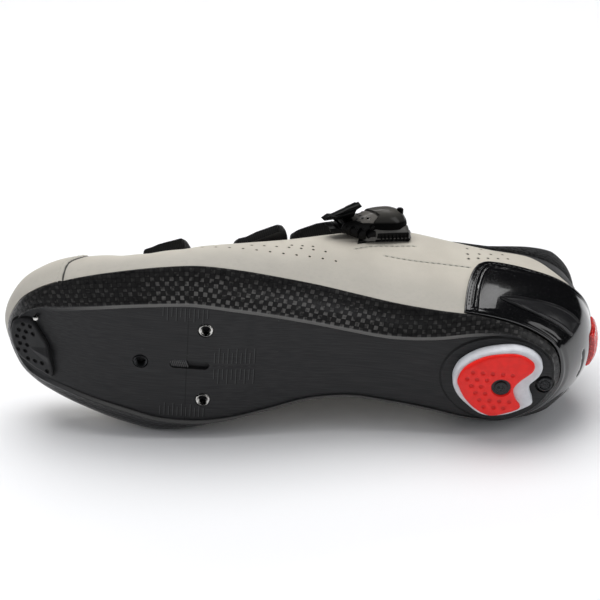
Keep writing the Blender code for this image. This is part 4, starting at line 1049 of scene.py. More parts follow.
# toe pad, heel pad and their fittings
toePadLook = {"outline": ((0.984, 0.083), (0.968, 0.108), (0.951, 0.112), (0.937, 0.056), (0.926, 0.006),
                          (0.920, -0.067), (0.915, -0.172), (0.932, -0.168), (0.952, -0.150), (0.972, -0.120),
                          (0.984, -0.070), (0.989, -0.011), (0.989, 0.044)),
              "thick": 0.0026, "gap": 0.0005, "pitAt": (270.6, 8.0), "pitch": (3.45, 3.55), "pitRadius": 1.20,
              "pitDepth": 0.95, "wedgeEnd": 264.0, "pinAt": (0.2610, 0.0128), "colour": (0.016, 0.016, 0.017)}
heelPadLook = {"centre": (0.0500, 0.0030), "size": (0.0390, 0.0355), "screwAt": (48.0, 2.1), "pitch": 4.5,
               "pitRadius": 1.25, "pitDepth": 0.45, "red": (0.860, 0.018, 0.013), "white": (0.66, 0.67, 0.70)}
heelRimOutline = ((0.53, 0.02), (0.46, 0.24), (0.26, 0.42), (0.02, 0.51), (-0.20, 0.54), (-0.40, 0.47),
                  (-0.52, 0.32), (-0.50, 0.15), (-0.40, 0.00), (-0.42, -0.14), (-0.46, -0.28), (-0.36, -0.38),
                  (-0.14, -0.50), (0.12, -0.52), (0.34, -0.36), (0.48, -0.18))
heelPadOutline = ((0.46, 0.03), (0.39, 0.22), (0.20, 0.38), (-0.02, 0.45), (-0.22, 0.46), (-0.38, 0.37),
                  (-0.40, 0.25), (-0.26, 0.08), (-0.20, -0.05), (-0.24, -0.20), (-0.30, -0.32),
                  (-0.14, -0.42),
                  (0.04, -0.47), (0.22, -0.38), (0.36, -0.22), (0.43, -0.08))


def pitsIn(xy, centres, radius, depth):
    # depth in millimetres of round pits, and how far inside one a point is
    deepest = np.zeros(len(xy))
    for centre in centres:
        deepest = np.maximum(deepest, 1 - step(np.hypot(*(xy - centre).T), 0.5 * radius, radius))
    return deepest * depth, deepest


def within(spots, outline, clear):
    # which spots in millimetres lie inside an outline in metres, clear of it
    loop = closedLoop(outline)
    away = nearLine(raised(spots / 1000), raised(loop))[0] * 1000
    return np.array([windsRound(spot, loop * 1000) for spot in spots]) & (away > clear)


def makeRelief(name, outline, face, back, material, slot, nodes=(), rings=44):
    # pad over an outline in metres: face gives the height and the pits at a point, back the height
    outline = np.array(outline)
    count = len(outline)
    centre = outline.mean(axis=0)
    shares = np.concatenate([[0.02], np.linspace(0, 1, rings)[1:] ** 0.85])
    xy = (centre + (outline - centre) * shares[:, None, None]).reshape(-1, 2)
    away = nearLine(raised(xy), raised(closedLoop(outline))[::2])[0]
    away[-count:] = 0
    z, pit = face(xy, away)
    under = np.column_stack([outline, back(outline) if callable(back) else np.full(count, back)])
    points = np.vstack([np.column_stack([xy, z]), under])
    marks = {"pit": np.concatenate([pit, np.zeros(count)])}
    makePiece(name, points, tubeFaces(rings + 1, count), material, slot, nodes, marks, sharp=50)


def rubber(name, colour, pitColour, roughness, depth=0.5, fleck=0.03):
    f = Finish(name, coatRoughness=0.3, specularLevel=0.3)
    place = f.place()
    grain = f.noise(place, 3.0, 3.0)
    cloud = f.noise(place, 0.3, 3.0)
    low, high = (tuple(min(1, share * c) for c in colour) for share in (0.94, 1.04))
    tone = f.mix(f.fade(cloud, 0.35, 0.7), low, high)
    scuff = f.fade(f.noise(f.place((0.6, 1.4, 1)), 0.9, 6.0), 0.62, 0.76)
    tone = f.mix(fleck * scuff, tone, (0.45, 0.45, 0.44))
    # darker pits and grooves: painted shade in the recesses of the pads; on the screw head the same mark
    # colours the cross
    tone = f.mix(depth * f.mark("pit"), tone, pitColour)
    roughness = roughness + 0.12 * grain + 0.1 * scuff
    return f.wear(baseColor=tone, roughness=roughness, normal=f.bump(0.02 * grain, 0.6))


def makeToePad():
    look = toePadLook
    outline = smoothLoop(np.array(look["outline"]) * (last["length"], last["ball"]), 12)
    (firstX, firstY), (pitchX, pitchY) = look["pitAt"], look["pitch"]
    spots = np.array([(firstX - pitchX * i - 1.2 * (j % 2) - 0.25 * j, firstY - pitchY * j)
                      for i in range(6) for j in range(9)])
    wedge = (spots[:, 0] < look["wedgeEnd"]) & (spots[:, 1] < 1.2) & (spots[:, 1] > -9.6)
    centres = spots[within(spots, outline, 1.45) & ~wedge]

    def face(xy, away):
        depth, pit = pitsIn(xy * 1000, centres, look["pitRadius"], look["pitDepth"])
        x, y = xy.T * 1000
        reach = np.clip((look["wedgeEnd"] - x) / 9.0, 0, 1)
        ramp = reach * np.clip(1 - abs(y + 3.4 + 1.4 * reach) / (0.5 + 3.8 * reach), 0, 1) * 2.0
        drop = look["gap"] + look["thick"] * (0.45 + 0.55 * domed(away, 0.0013))
        return soleHeight(*xy.T) - drop + (depth - ramp) / 1000, pit

    # thin black ring just outside the pad: painted shadow along the pad's edge
    def groove(xy, away):
        return soleHeight(*xy.T) - 0.0007 * domed(away, 0.0008), np.ones(len(xy))

    # pit colour: painted shade in the pad's pits
    toeRubber = rubber("toeRubber", look["colour"], (0.004, 0.004, 0.004), 0.50, 0.85)
    shadowRingBlack = rubber("shadowRingBlack", (0.006, 0.006, 0.006), (0.003, 0.003, 0.003), 0.7)
    makeRelief("toePad", outline, face, lambda xy: soleHeight(*xy.T) + 0.0004, toeRubber, "dark_rubber",
               ["toe_pad"], 60)
    centre = outline.mean(axis=0)
    makeRelief("toePadShadowRing", centre + (outline - centre) * 1.055, groove,
               lambda xy: soleHeight(*xy.T) + 0.0008, shadowRingBlack, "dark_rubber", rings=10)
    head = ((0.0, -0.35), (0.6, -0.30), (1.05, -0.05), (1.3, 0.35), (1.3, 2.2))
    seat = soleHeight(*np.array(look["pinAt"])[:, None])[0] - look["thick"]
    makeTurned("toePin", look["pinAt"], head, seat, steelFinish, "steel", ["toe_pad_pin"])


def windsRound(point, loop):
    a, b = loop[:-1] - point, loop[1:] - point
    angles = np.arctan2(a[:, 0] * b[:, 1] - a[:, 1] * b[:, 0], (a * b).sum(axis=1))
    return abs(angles.sum()) > 3


def makeTurned(name, centre, profile, base, material, slot, nodes=(), sides=40, sharp=35, closed=False):
    # profile of radius and height in millimetres, turned about an upright axis
    points = [(*xy, base + z / 1000) for r, z in profile for xy in roundOutline(centre, r / 1000, sides)]
    faces = gridFaces(len(profile), sides, True, True) if closed else tubeFaces(len(profile), sides)
    makePiece(name, points, faces, material, slot, nodes, sharp=sharp)


def metal(name, colour, roughness, metallic=1.0):
    f = Finish(name, metallic=metallic)
    place = f.place()
    fine = f.noise(place, 4.0, 3.0)
    spots = f.fade(f.noise(place, 1.6, 4.0), 0.55, 0.75)
    tone = f.mix(0.35 * spots, colour, tuple(0.45 * c for c in colour))
    roughness = roughness + 0.10 * fine + 0.15 * spots
    return f.wear(baseColor=tone, roughness=roughness, normal=f.bump(0.01 * fine, 0.5))


steelFinish = metal("brightSteel", (0.68, 0.67, 0.64), 0.20)
blackSteel = metal("blackenedSteel", (0.030, 0.031, 0.033), 0.26, 0.8)


def makeHeelPad():
    look = heelPadLook

    def placed(outline, per, share=1.0):
        return smoothLoop(np.array(outline) * look["size"] * share + look["centre"], per)

    screw = np.array(look["screwAt"])
    white = rubber("whiteRim", look["white"], look["white"], 0.30, 0.0, 0.04)
    makeRelief("heelRim", placed(heelRimOutline, 12, 0.965),
               lambda xy, away: (0.0026 + 0.0009 * (1 - domed(away, 0.0011)), 0 * away), 0.0080, white,
               "pale_plastic", ["heel_pad_rim"], 24)
    pitch = look["pitch"]
    spots = np.array([(screw[0] + pitch * (i + 0.5 * (j % 2)), screw[1] + 0.8 * pitch * j)
                      for i in range(-5, 6) for j in range(-6, 5)])
    outline = placed(heelPadOutline, 14)
    keep = within(spots, outline, 2.6) & (np.hypot(*(spots - screw).T) > 6.0) & (spots[:, 1] < 11.5)
    centres = spots[keep]

    def face(xy, away):
        depth, pit = pitsIn(xy * 1000, centres, look["pitRadius"], look["pitDepth"])
        fromScrew = np.hypot(*(xy * 1000 - screw).T)
        well = 1 - step(fromScrew, 4.1, 4.7)
        lean = 0.85 * step(xy[:, 1] * 1000, 10.5, 18.0)
        z = 0.4 + 0.95 * (1 - domed(away, 0.0019)) + np.maximum(depth, 1.7 * well) + lean * (1 - well)
        return np.minimum(z, 2.25) / 1000, 0.5 * pit

    # pit colour: painted shade in the pad's pits
    red = rubber("redTread", look["red"], (0.42, 0.008, 0.008), 0.24, 1.0, 0.02)
    makeRelief("heelPad", outline, face, 0.0030, red, "red_pad", ["heel_pad"], 90)
    makeTurned("screwSeat", screw / 1000, ((2.6, 1.75), (3.3, 1.55), (4.35, 1.50), (4.45, 1.9), (4.4, 2.6)),
               0.0,
               blackSteel, "black_steel", sharp=50)

    def cross(xy, away):
        u, v = (xy * 1000 - screw).T
        arms = [(1 - step(abs(p), 0.28, 0.55)) * (1 - step(abs(q), 1.45, 1.85)) for p, q in ((u, v), (v, u))]
        arms = np.maximum(*arms)
        return 0.0010 + 0.0005 * (1 - domed(away, 0.0009)) + 0.0009 * arms, arms

    screwHead = rubber("screwHead", (0.016, 0.016, 0.017), (0.22, 0.22, 0.22), 0.26, 1.0)
    makeRelief("heelScrew", roundOutline(screw / 1000, 0.0030, 64), cross, 0.0030, screwHead, "black_steel",
               ["heel_pad_screw"], 40)

    def knurl(xy, away):
        u, v = xy.T * 1000
        bumps = np.sin((u + v) * 3.4) * np.sin((u - v) * 3.4)
        groove = np.exp(-((away * 1000 - 1.1) / 0.22) ** 2)
        return 0.0071 + 0.0004 * (1 - domed(away, 0.0007)) + 0.00025 * bumps + 0.0006 * groove, groove

    # pit colour: painted shade in the groove round the plug's knurl
    plugRubber = rubber("plugRubber", (0.040, 0.041, 0.043), (0.03, 0.03, 0.03), 0.5)
    makeRelief("heelPlug", roundOutline(holesLook["plugAt"], 0.0034, 64), knurl, 0.0100, plugRubber,
               "dark_rubber", ["heel_plug"], 40)


def makeNuts():
    turns = [(2.1 + (0.28 if i % 2 else 0.0), 0.6 + 0.23 * i) for i in range(12)]
    profile = [(2.62, 0.02), (2.85, -0.06), (3.05, 0.02), (3.3, 0.35), (3.3, 3.2), (2.1, 3.2)] + turns[::-1]
    for place, spot in nutPlaces.items():
        dark = place == "front"
        makeTurned("cleatInsert_" + place, spot, profile, 0.0041, blackSteel if dark else steelFinish,
                   "black_steel" if dark else "steel", ["cleat_nut_" + place], closed=True, sides=56)
    bars = []
    for x in 0.1902 + 0.0009 * np.arange(10):
        bar = ((x, -0.0021), (x + 0.0012, 0.0014), (x + 0.0016, 0.0014), (x + 0.0004, -0.0021))
        bars.append(slab(*([(*p, z) for p in bar] for z in (0.0047, 0.0059))))
    points, faces = joined(bars)
    makePiece("slotRibs", points, faces, metal("slotRib", (0.10, 0.10, 0.10), 0.4, 0.3), "steel", sharp=30)


makeToePad()
makeHeelPad()
makeNuts()
print("stage: pads and inserts")

# straps
strapLook = {"frontStrap": {"node": "front_strap", "stations": (11.50, 12.98), "reach": (-0.62, 0.54),
                            "thick": 0.0060, "rounding": 0.16, "heelLift": 0.0020},
             "midStrap": {"node": "mid_strap", "stations": (9.08, 10.50), "reach": (-0.62, 0.54),
                          "thick": 0.0041, "rounding": 0.20, "heelLift": 0.0048},
             "instepStrap": {"node": "instep_strap", "stations": (7.30, 9.05), "reach": (-0.60, 0.50),
                             "thick": 0.0062, "rounding": 0.35, "heelLift": 0.0}}
webLook = {"colour": (0.004, 0.004, 0.004), "light": (0.013, 0.013, 0.013), "rib": 1.15,
          "station": 17.8}


def webbing():
    f = Finish("blackWebbing", sheenWeight=0.10, sheenRoughness=0.4, specularLevel=0.2)
    run, wide = f.mark("run"), f.mark("wide")
    ribs = (run * (2 * math.pi / webLook["rib"])).sin()
    twill = ((wide + run * 0.5) * (2 * math.pi / 0.9)).sin()
    weave = 0.5 + 0.25 * ribs + 0.25 * twill
    fuzz = f.noise(f.place(), 2.5, 4.0)
    tone = f.mix(f.fade(weave * 0.6 + fuzz * 0.6, 0.45, 0.95), webLook["colour"], webLook["light"])
    return f.wear(baseColor=tone, roughness=0.72 + 0.15 * fuzz,
                  normal=f.bump(0.16 * weave + 0.08 * fuzz, 0.8))


blackWebbing = webbing()


def makeStrap(name, look):
    start, end = look["reach"]
    s = np.linspace(start, end, 260)
    share = np.minimum(s - start, end - s) / (end - start)
    narrow = look["rounding"] * np.clip(1 - share / 0.08, 0, None) ** 2
    v = np.linspace(0, 1, 36)
    first, final = look["stations"]
    k = (first + narrow)[:, None] * (1 - v) + (final - narrow)[:, None] * v
    ss = np.broadcast_to(s[:, None], k.shape)
    heelward = np.clip(0.5 * (first + final) + 0.3 - k, 0, None)
    lift = last["gap"] + look["heelLift"] * np.clip(ss / end, 0, None) * heelward
    base = over(k, ss, lift)
    away = fromBorder(base, 3)
    slope = np.minimum(np.interp(k - k[:, :1], (0, 0.5), (0.95, 1)),
                       np.interp(k[:, -1:] - k, (0, 0.5), (0.75, 1)))
    thick = look["thick"] * slope * (0.35 + 0.65 * domed(away, 0.0011))
    groove = 0.00022 * np.exp(-((away - 0.0024) / 0.0005) ** 2)
    marks = {"run": lineMeasures(base[:, 18])[:, None] * 1000 + 0 * k,
             "wide": (k - first) * webLook["station"]}
    piece = makeSheet(name, over(k, ss, lift + thick - groove), base, blackWebbing, "black_fabric", marks,
                      nodes=[look["node"]], sharp=75)
    lines = []
    for column in (4, 31):
        line, above = (over(k[6:-6, column], s[6:-6], (lift + thick)[6:-6, column] + rise)
                       for rise in (-0.00012, 0.001))
        lines.append((line, unit(above - line)))
    makeStitches(name + "Stitches", lines, {**threadLook, "pitch": 0.0032, "length": 0.0024}, blackThread,
                 "black_fabric")
    return piece


for name, look in strapLook.items():
    strap = makeStrap(name, look)
    look["thick"] > 0.005
print("stage: straps")

# padded tongue, padded collar and insole
tongueLook = {"stations": (6.5, 13.0), "edge": 0.5375, "top": 0.017, "topHalf": 0.205, "near": -0.0026,
              "thick": 0.0036, "quilt": 0.0007, "pitch": 0.013}
collarLook = {"end": 6.0, "pad": 0.0070, "rows": 260, "perSpan": 6}
collarRows = ((0.270, 0.000, 1.00), (0.285, 0.000, 1.00), (0.270, 0.000, 0.95), (0.180, 0.002, 0.85),
              (0.080, 0.002, 0.70), (0.045, 0.001, 0.55), (0.036, 0.000, 0.45))
insoleLook = {"thick": 0.0030, "inset": 0.0062, "colour": (0.050, 0.050, 0.052), "light": (0.10, 0.10, 0.10)}


def airMesh(name, colour, light, scale=0.85, depth=0.30):
    # open knit with small round cells
    f = Finish(name, sheenWeight=0.10, sheenRoughness=0.45, specularLevel=0.25)
    cells = f.cells(f.place((1, 1, 1.15)), scale)
    fuzz = f.noise(f.place(), 2.2, 3.0)
    threads = f.fade(cells, 0.25, 0.7)
    tone = f.mix(threads * (0.55 + 0.45 * fuzz), colour, light)
    return f.wear(baseColor=tone, roughness=0.70 + 0.2 * fuzz,
                  normal=f.bump(depth * threads + 0.08 * fuzz, 0.8))


blackMesh = airMesh("blackAirMesh", (0.004, 0.004, 0.004), (0.022, 0.022, 0.023))


def makeTongue():
    look = tongueLook
    k = np.linspace(*look["stations"], 150)
    s = np.linspace(-look["edge"], look["edge"], 72)
    kk, ss = np.meshgrid(k, s, indexing="ij")
    near, start = look["near"], look["stations"][0]
    rise = unit(over(start, 0.0, near) - over(start + 0.4, 0.0, near))
    faces = []
    for lift in (near, near - look["thick"]):
        body = over(kk, ss, lift)
        first = body[0]
        middle = first.mean(axis=0)
        side = ((first[:, 1] - middle[1]) / abs(first[:, 1] - middle[1]).max())[None, :]
        u = np.linspace(1, 0, 46, endpoint=False)[:, None]
        closing = 1 - (1 - u) ** 3.2
        rows = first[None] + (0.8 * rise + np.array([0, 0, 0.6])) * (u * look["top"])[..., None]
        drawn = middle[1] + look["topHalf"] * last["ball"] * np.sin(0.5 * math.pi * side)
        rows[..., 1] = first[None, :, 1] * (1 - closing) + drawn * closing
        rows[..., 2] -= 0.25 * look["top"] * u * side ** 2
        faces.append(np.concatenate([rows, body]))
    outer, inner = faces
    middle = (outer + inner) / 2
    away = fromBorder(middle, 3)
    run = lineMeasures(middle[:, 36])
    channel = abs((run / look["pitch"] + 0.5) % 1 - 0.5) * look["pitch"]
    rib = abs(abs(ss[0]) - 0.17) * last["ball"]
    swell = step(channel, 0.0, 0.004)[:, None] * step(rib, 0.0, 0.004)
    pinch = (0.12 + 0.88 * domed(away, 0.0028))[..., None]
    up = unit(outer - inner)
    puff = up * (look["quilt"] * (swell - 0.6) * step(away, 0.001, 0.004))[..., None]
    piece = makeSheet("tonguePad", middle + (outer - middle) * pinch + puff,
                      middle + (inner - middle) * pinch,
                      blackMesh, "black_mesh", nodes=["tongue"], sharp=80)


def collarSections(k):
    mirrored = np.array(collarRows[::-1] + collarRows[1:])
    reach = len(collarRows) - 1
    at = np.arange(-reach, reach + 1)
    rise, lean, pad = (np.interp(k, at, mirrored[:, c]) for c in range(3))
    rise, pad = (rise * last["collar"])[:, None], (pad * collarLook["pad"])[:, None]
    lean = (lean * last["length"])[:, None] * np.array([1.0, 0, 0])
    gap, wall = last["gap"], last["wall"]
    near = -(wall + gap)
    up = np.array([0, 0, 1.0])
    edge, behind = skin(k, 1.0), skin(k, 1.0, near)
    past = unit(curveSlope(ribPoints(k), 1.0)) * 3 * gap
    inward = unit((behind - edge) * (1, 1, 0))
    top = edge + past
    return np.stack([
        skin(k, 0.625, near), skin(k, 0.75, near), skin(k, 0.875, near), behind + past,
        top + up * 0.30 * rise + 0.3 * lean, top + up * 0.72 * rise + 0.75 * lean + inward * 0.10 * pad,
        top + up * rise + lean + inward * (0.35 * pad + 0.5 * wall),
        top + up * 0.90 * rise + lean + inward * (0.85 * pad + wall),
        top + up * 0.30 * rise + inward * (pad + wall) + 0.7 * lean,
        skin(k, 0.825, near - pad[:, 0]), skin(k, 0.70, near - 0.6 * pad[:, 0]),
        skin(k, 0.625, near - 0.22 * pad[:, 0])], axis=1)


def makeCollar():
    k = np.linspace(-collarLook["end"], collarLook["end"], collarLook["rows"])
    stops = collarSections(k)
    per = collarLook["perSpan"]
    count = stops.shape[1]
    u = np.arange(count * per) / per
    i = u.astype(int)
    t = (u - i)[None, :, None]
    loops = blend(*(stops[:, (i + shift) % count] for shift in (-1, 0, 1, 2)), t)
    piece = makePiece("collarPad", loops, tubeFaces(*loops.shape[:2]), blackMesh, "black_mesh",
                      ["collar_lining"], sharp=80)


def makeInsole():
    rows = 288
    k = np.arange(rows) * 2 * stations / rows
    row = rowsAt(k)
    low = floorOf(row) + soleLook["plate"] + last["gap"]
    base = np.stack([row[:, alongAt], row[:, sideAt], 0 * low], axis=-1)
    thick, inset = insoleLook["thick"], insoleLook["inset"]
    profile = []
    for more, height in ((0.0014, 1.0), (0.0006, 0.97), (0.0002, 0.86), (0.0, 0.70), (0.0, 0.0)):
        ribs = base - outward(k) * (inset + more)
        ribs[:, 2] += low + height * thick
        profile.append(ribs)
    profile = np.stack(profile, axis=1)
    points = list(profile.reshape(-1, 3))
    faces = gridFaces(rows, 5, closedRows=True)
    faces += capOver(points, [i * 5 for i in range(rows)], 24, lambda line: 0.0)
    faces += capOver(points, [i * 5 + 4 for i in range(rows)], 8, lambda line: 0.0)
    material = airMesh("insoleCloth", insoleLook["colour"], insoleLook["light"], 1.3, 0.12)
    piece = makePiece("insolePad", np.array(points), faces, material, "insole_foam", ["insole"], sharp=70)


makeTongue()
makeCollar()
makeInsole()
print("stage: tongue, collar, insole")

# buckle, in millimetres: a towards the toe, b towards the sole, c off the upper
buckleLook = {"station": 6.48, "share": 0.61, "fall": 0.12, "baseStations": (5.82, 7.20),
              "baseShares": (0.50, 0.72), "plinth": 0.0013, "dialLow": 6.4, "dialRise": 7.1, "step": 0.8,
              "dark": (0.0016, 0.0016, 0.0016), "reflectionGrey": (0.085, 0.082, 0.076),
              "plate": (0.115, 0.108, 0.098),
              "dome": (0.075, 0.071, 0.064)}


def buckleAxes():
    station, share, fall = (buckleLook[key] for key in ("station", "share", "fall"))
    start = skin(station, share)
    normal = unit(skin(station, share, 0.001) - start)
    toe = skin(station + 0.4, share - 0.4 * fall) - start
    toe = unit(toe - normal * (toe @ normal))
    return start, np.stack([toe, np.cross(normal, toe), normal])


buckleStart, buckleTurn = buckleAxes()


def inBuckle(points):
    return buckleStart + np.asarray(points, float) / 1000 @ buckleTurn


def tapered(lower, lowHeight, upper, highHeight, width):
    # block between two outlines in a and b
    return slab([(a, b, lowHeight) for a, b in lower], [(a, b, highHeight) for a, b in upper], width)


def sidewise(outline, low, high, width, pinch=1.0):
    # plate between two depths b, with an outline in a and c; the high side drawn in by the pinch
    middle = np.mean(outline, axis=0)
    small = middle + (np.array(outline) - middle) * pinch
    return slab([(a, low, c) for a, c in outline], [(a, high, c) for a, c in small], width)


def makeBit(name, parts, material, nodes=()):
    points, faces = joined(parts)
    makePiece(name, inBuckle(points), faces, material, "matte_black", nodes, sharp=30)


def buckleFinish(name, colour, roughness, coat):
    f = Finish(name, coatWeight=coat, coatRoughness=0.18, specularLevel=0.12)
    place = f.place()
    grain = f.noise(place, 3.5, 3.0)
    rub = f.fade(f.noise(place, 0.8, 5.0), 0.5, 0.75)
    tone = f.mix(0.35 * rub, colour, tuple(1.8 * c for c in colour))
    roughness = roughness + 0.12 * grain + 0.10 * rub
    return f.wear(baseColor=tone, roughness=roughness, normal=f.bump(0.02 * grain, 0.6))


darkPlastic = buckleFinish("darkPlastic", buckleLook["dark"], 0.24, 0.0)
# grey block: painted reflection of the bright surroundings on black plastic
reflectionGreyPlastic = buckleFinish("reflectionGreyPlastic", buckleLook["reflectionGrey"], 0.24, 0.5)


def makeBuckleBase():
    look = buckleLook
    k = np.linspace(*look["baseStations"], 44)
    v = np.linspace(*look["baseShares"], 40)
    kk, vv = np.meshgrid(k, v, indexing="ij")
    tt = vv - look["fall"] * (kk - look["station"])
    base = skin(kk, tt, 0.00005)
    height = look["plinth"] * (0.15 + 0.85 * domed(fromBorder(base, 2), 0.0011))
    makeSheet("bucklePlinth", skin(kk, tt, height), base, darkPlastic, "matte_black", nodes=["buckle_base"],
              sharp=60)
    lower = [(-9.5, -7.5), (-8.0, -9.0), (12.0, -9.0), (14.5, -7.0),
             (15.0, 7.6), (13.0, 9.8), (-7.6, 9.8), (-9.8, 8.0)]
    upper = [(-8.2, -6.2), (-7.0, -7.5), (7.0, -7.5), (9.0, -6.0),
             (9.4, 5.4), (8.0, 7.0), (-6.6, 7.0), (-8.2, 5.6)]
    makeBit("buckleBlock", [tapered(lower, 0.6, upper, look["dialLow"] - 0.1, 0.35)], reflectionGreyPlastic)
    fins = [tapered([(a - 0.35, 7.4), (a + 0.35, 7.4), (a + 0.35, 10.3), (a - 0.35, 10.3)], 0.7,
                    [(a - 0.30, 6.8), (a + 0.30, 6.8), (a + 0.30, 9.3), (a - 0.30, 9.3)], 3.7, 0.12)
            for a in np.arange(-7.2, 8.0, 1.9)]
    fins.append(tapered([(-8.6, 7.2), (9.2, 7.2), (9.2, 9.9), (-8.6, 9.9)], 0.5,
                        [(-8.4, 7.0), (9.0, 7.0), (9.0, 9.6), (-8.4, 9.6)], 1.3, 0.2))
    makeBit("buckleFins", fins, darkPlastic)
    # dark plate on the block's side: painted shade standing in for the recess behind the fins
    recessShade = sidewise([(-7.9, 0.9), (8.6, 0.9), (7.6, 3.9), (-7.7, 3.9)], 7.7, 9.25, 0.0, 0.99)
    makeBit("buckleRecessShade", [recessShade], buckleFinish("recessShadeBlack", (0.005, 0.005, 0.005), 0.6, 0.0))


def makeDial():
    look = buckleLook
    half = [(-9.1, 0.0), (-8.7, 2.7), (-7.4, 5.2), (-5.2, 7.1), (-2.4, 8.2), (1.0, 8.4), (5.0, 8.0),
            (10.0, 7.3),
            (15.0, 6.4), (17.8, 4.6), (18.8, 1.6)]
    outline = smoothLoop(half + [(a, -b) for a, b in half[:0:-1]], 8)
    middle = np.array([2.0, 0.0])
    shares = np.concatenate([[0.02], np.linspace(0, 1, 40)[1:]])
    grid = middle + (outline - middle) * shares[:, None, None]
    a, b = grid[..., 0], grid[..., 1]
    rise = look["dialRise"] - 1.5 * step(a, 4.0, 18.0)
    body = look["dialLow"] + rise * np.clip(1 - shares[:, None] ** 2.7, 0, 1) ** 0.62
    # the toe side lies a step lower, along a broken line
    edge = np.interp(b, (-9, -1.9, 2.0, 5.0, 7.5, 9), (10.5, 10.1, 8.5, 6.7, 10.9, 12))
    lower = step(a - edge, -0.15, 0.30)
    # painted shadow: dark line along the step and a dark rim under the dome's overhang
    rim = step(shares, 0.91, 0.945)[:, None] + 0 * a
    stepShadowLine = np.maximum(rim, np.exp(-((a - edge) / 0.42) ** 2))
    body -= look["step"] * lower * (1 - shares[:, None] ** 6)
    points = np.stack([a, b, body], axis=-1).reshape(-1, 3)
    count = len(outline)
    skirt = np.column_stack([middle + (outline - middle) * 0.96, np.full(count, look["dialLow"] - 1.2)])
    f = Finish("dialShell", coatRoughness=0.12, specularLevel=0.04)
    place = f.place()
    grain = f.noise(place, 3.0, 3.0)
    # dome and plate tones: painted reflection of the surroundings on black plastic, the plate lighter where
    # it faces up
    tone = f.mix(f.mark("plate"), look["dome"], look["plate"])
    tone = f.mix(0.25 * f.fade(grain, 0.4, 0.8), tone, (0.02, 0.02, 0.02))
    # painted shade: the dome darker towards its lower edge
    tone = f.mix(0.7 * f.fade(f.mark("low"), 0.35, 0.90), tone, (0.008, 0.008, 0.008))
    # painted shadow along the step and the rim
    tone = f.mix(f.mark("line"), tone, (0.002, 0.002, 0.002))
    material = f.wear(baseColor=tone, roughness=0.24 + 0.10 * grain + 0.3 * f.mark("line"),
                      coatWeight=0.55 * (1 - f.mark("line")), normal=f.bump(0.02 * grain, 0.5))
    marks = {"plate": np.concatenate([lower.ravel(), np.zeros(count)]),
             "line": np.concatenate([stepShadowLine.ravel(), np.ones(count)]),
             "low": np.concatenate([np.repeat(shares, count) * (1 - lower.ravel()), np.ones(count)])}
    makePiece("buckleDial", inBuckle(np.vstack([points, skirt])), tubeFaces(len(shares) + 1, count), material,
              "matte_black", ["buckle_cap"], marks, sharp=42)
    surface = points.reshape(len(shares), count, 3)
    spots = []
    for at in ((14.5, -3.2), (11.9, -3.6), (14.3, -0.2), (16.3, 1.2), (14.2, 3.0), (16.0, 4.2), (11.6, 4.6)):
        flat = np.linalg.norm(surface[..., :2] - at, axis=-1)
        i, j = np.unravel_index(flat.argmin(), flat.shape)
        spot = surface[min(i, len(shares) - 2), j]
        run = surface[min(i + 1, len(shares) - 1), j] - spot
        normal = unit(np.cross(surface[i, (j + 1) % count] - spot, run))
        normal = normal if normal[2] > 0 else -normal
        spots.append((spot, unit(np.cross(normal, (0.3, 1.0, 0.1))), normal))
    for name, chosen, radius, material in (("dialDots", spots[:6], 0.80, blackThread),
                                           ("dialRivet", spots[6:], 0.95, steelFinish)):
        rings = [(radius * r, radius * h) for r, h in ((0.15, 0.30), (0.6, 0.25), (0.9, 0.12), (1.0, -0.25))]
        points, faces = stamped(chosen, rings)
        faces += [tuple(range(v, v + 16)) for v in range(0, len(points), 16 * len(rings))]
        makePiece(name, inBuckle(points), faces, material, "matte_black", sharp=60)


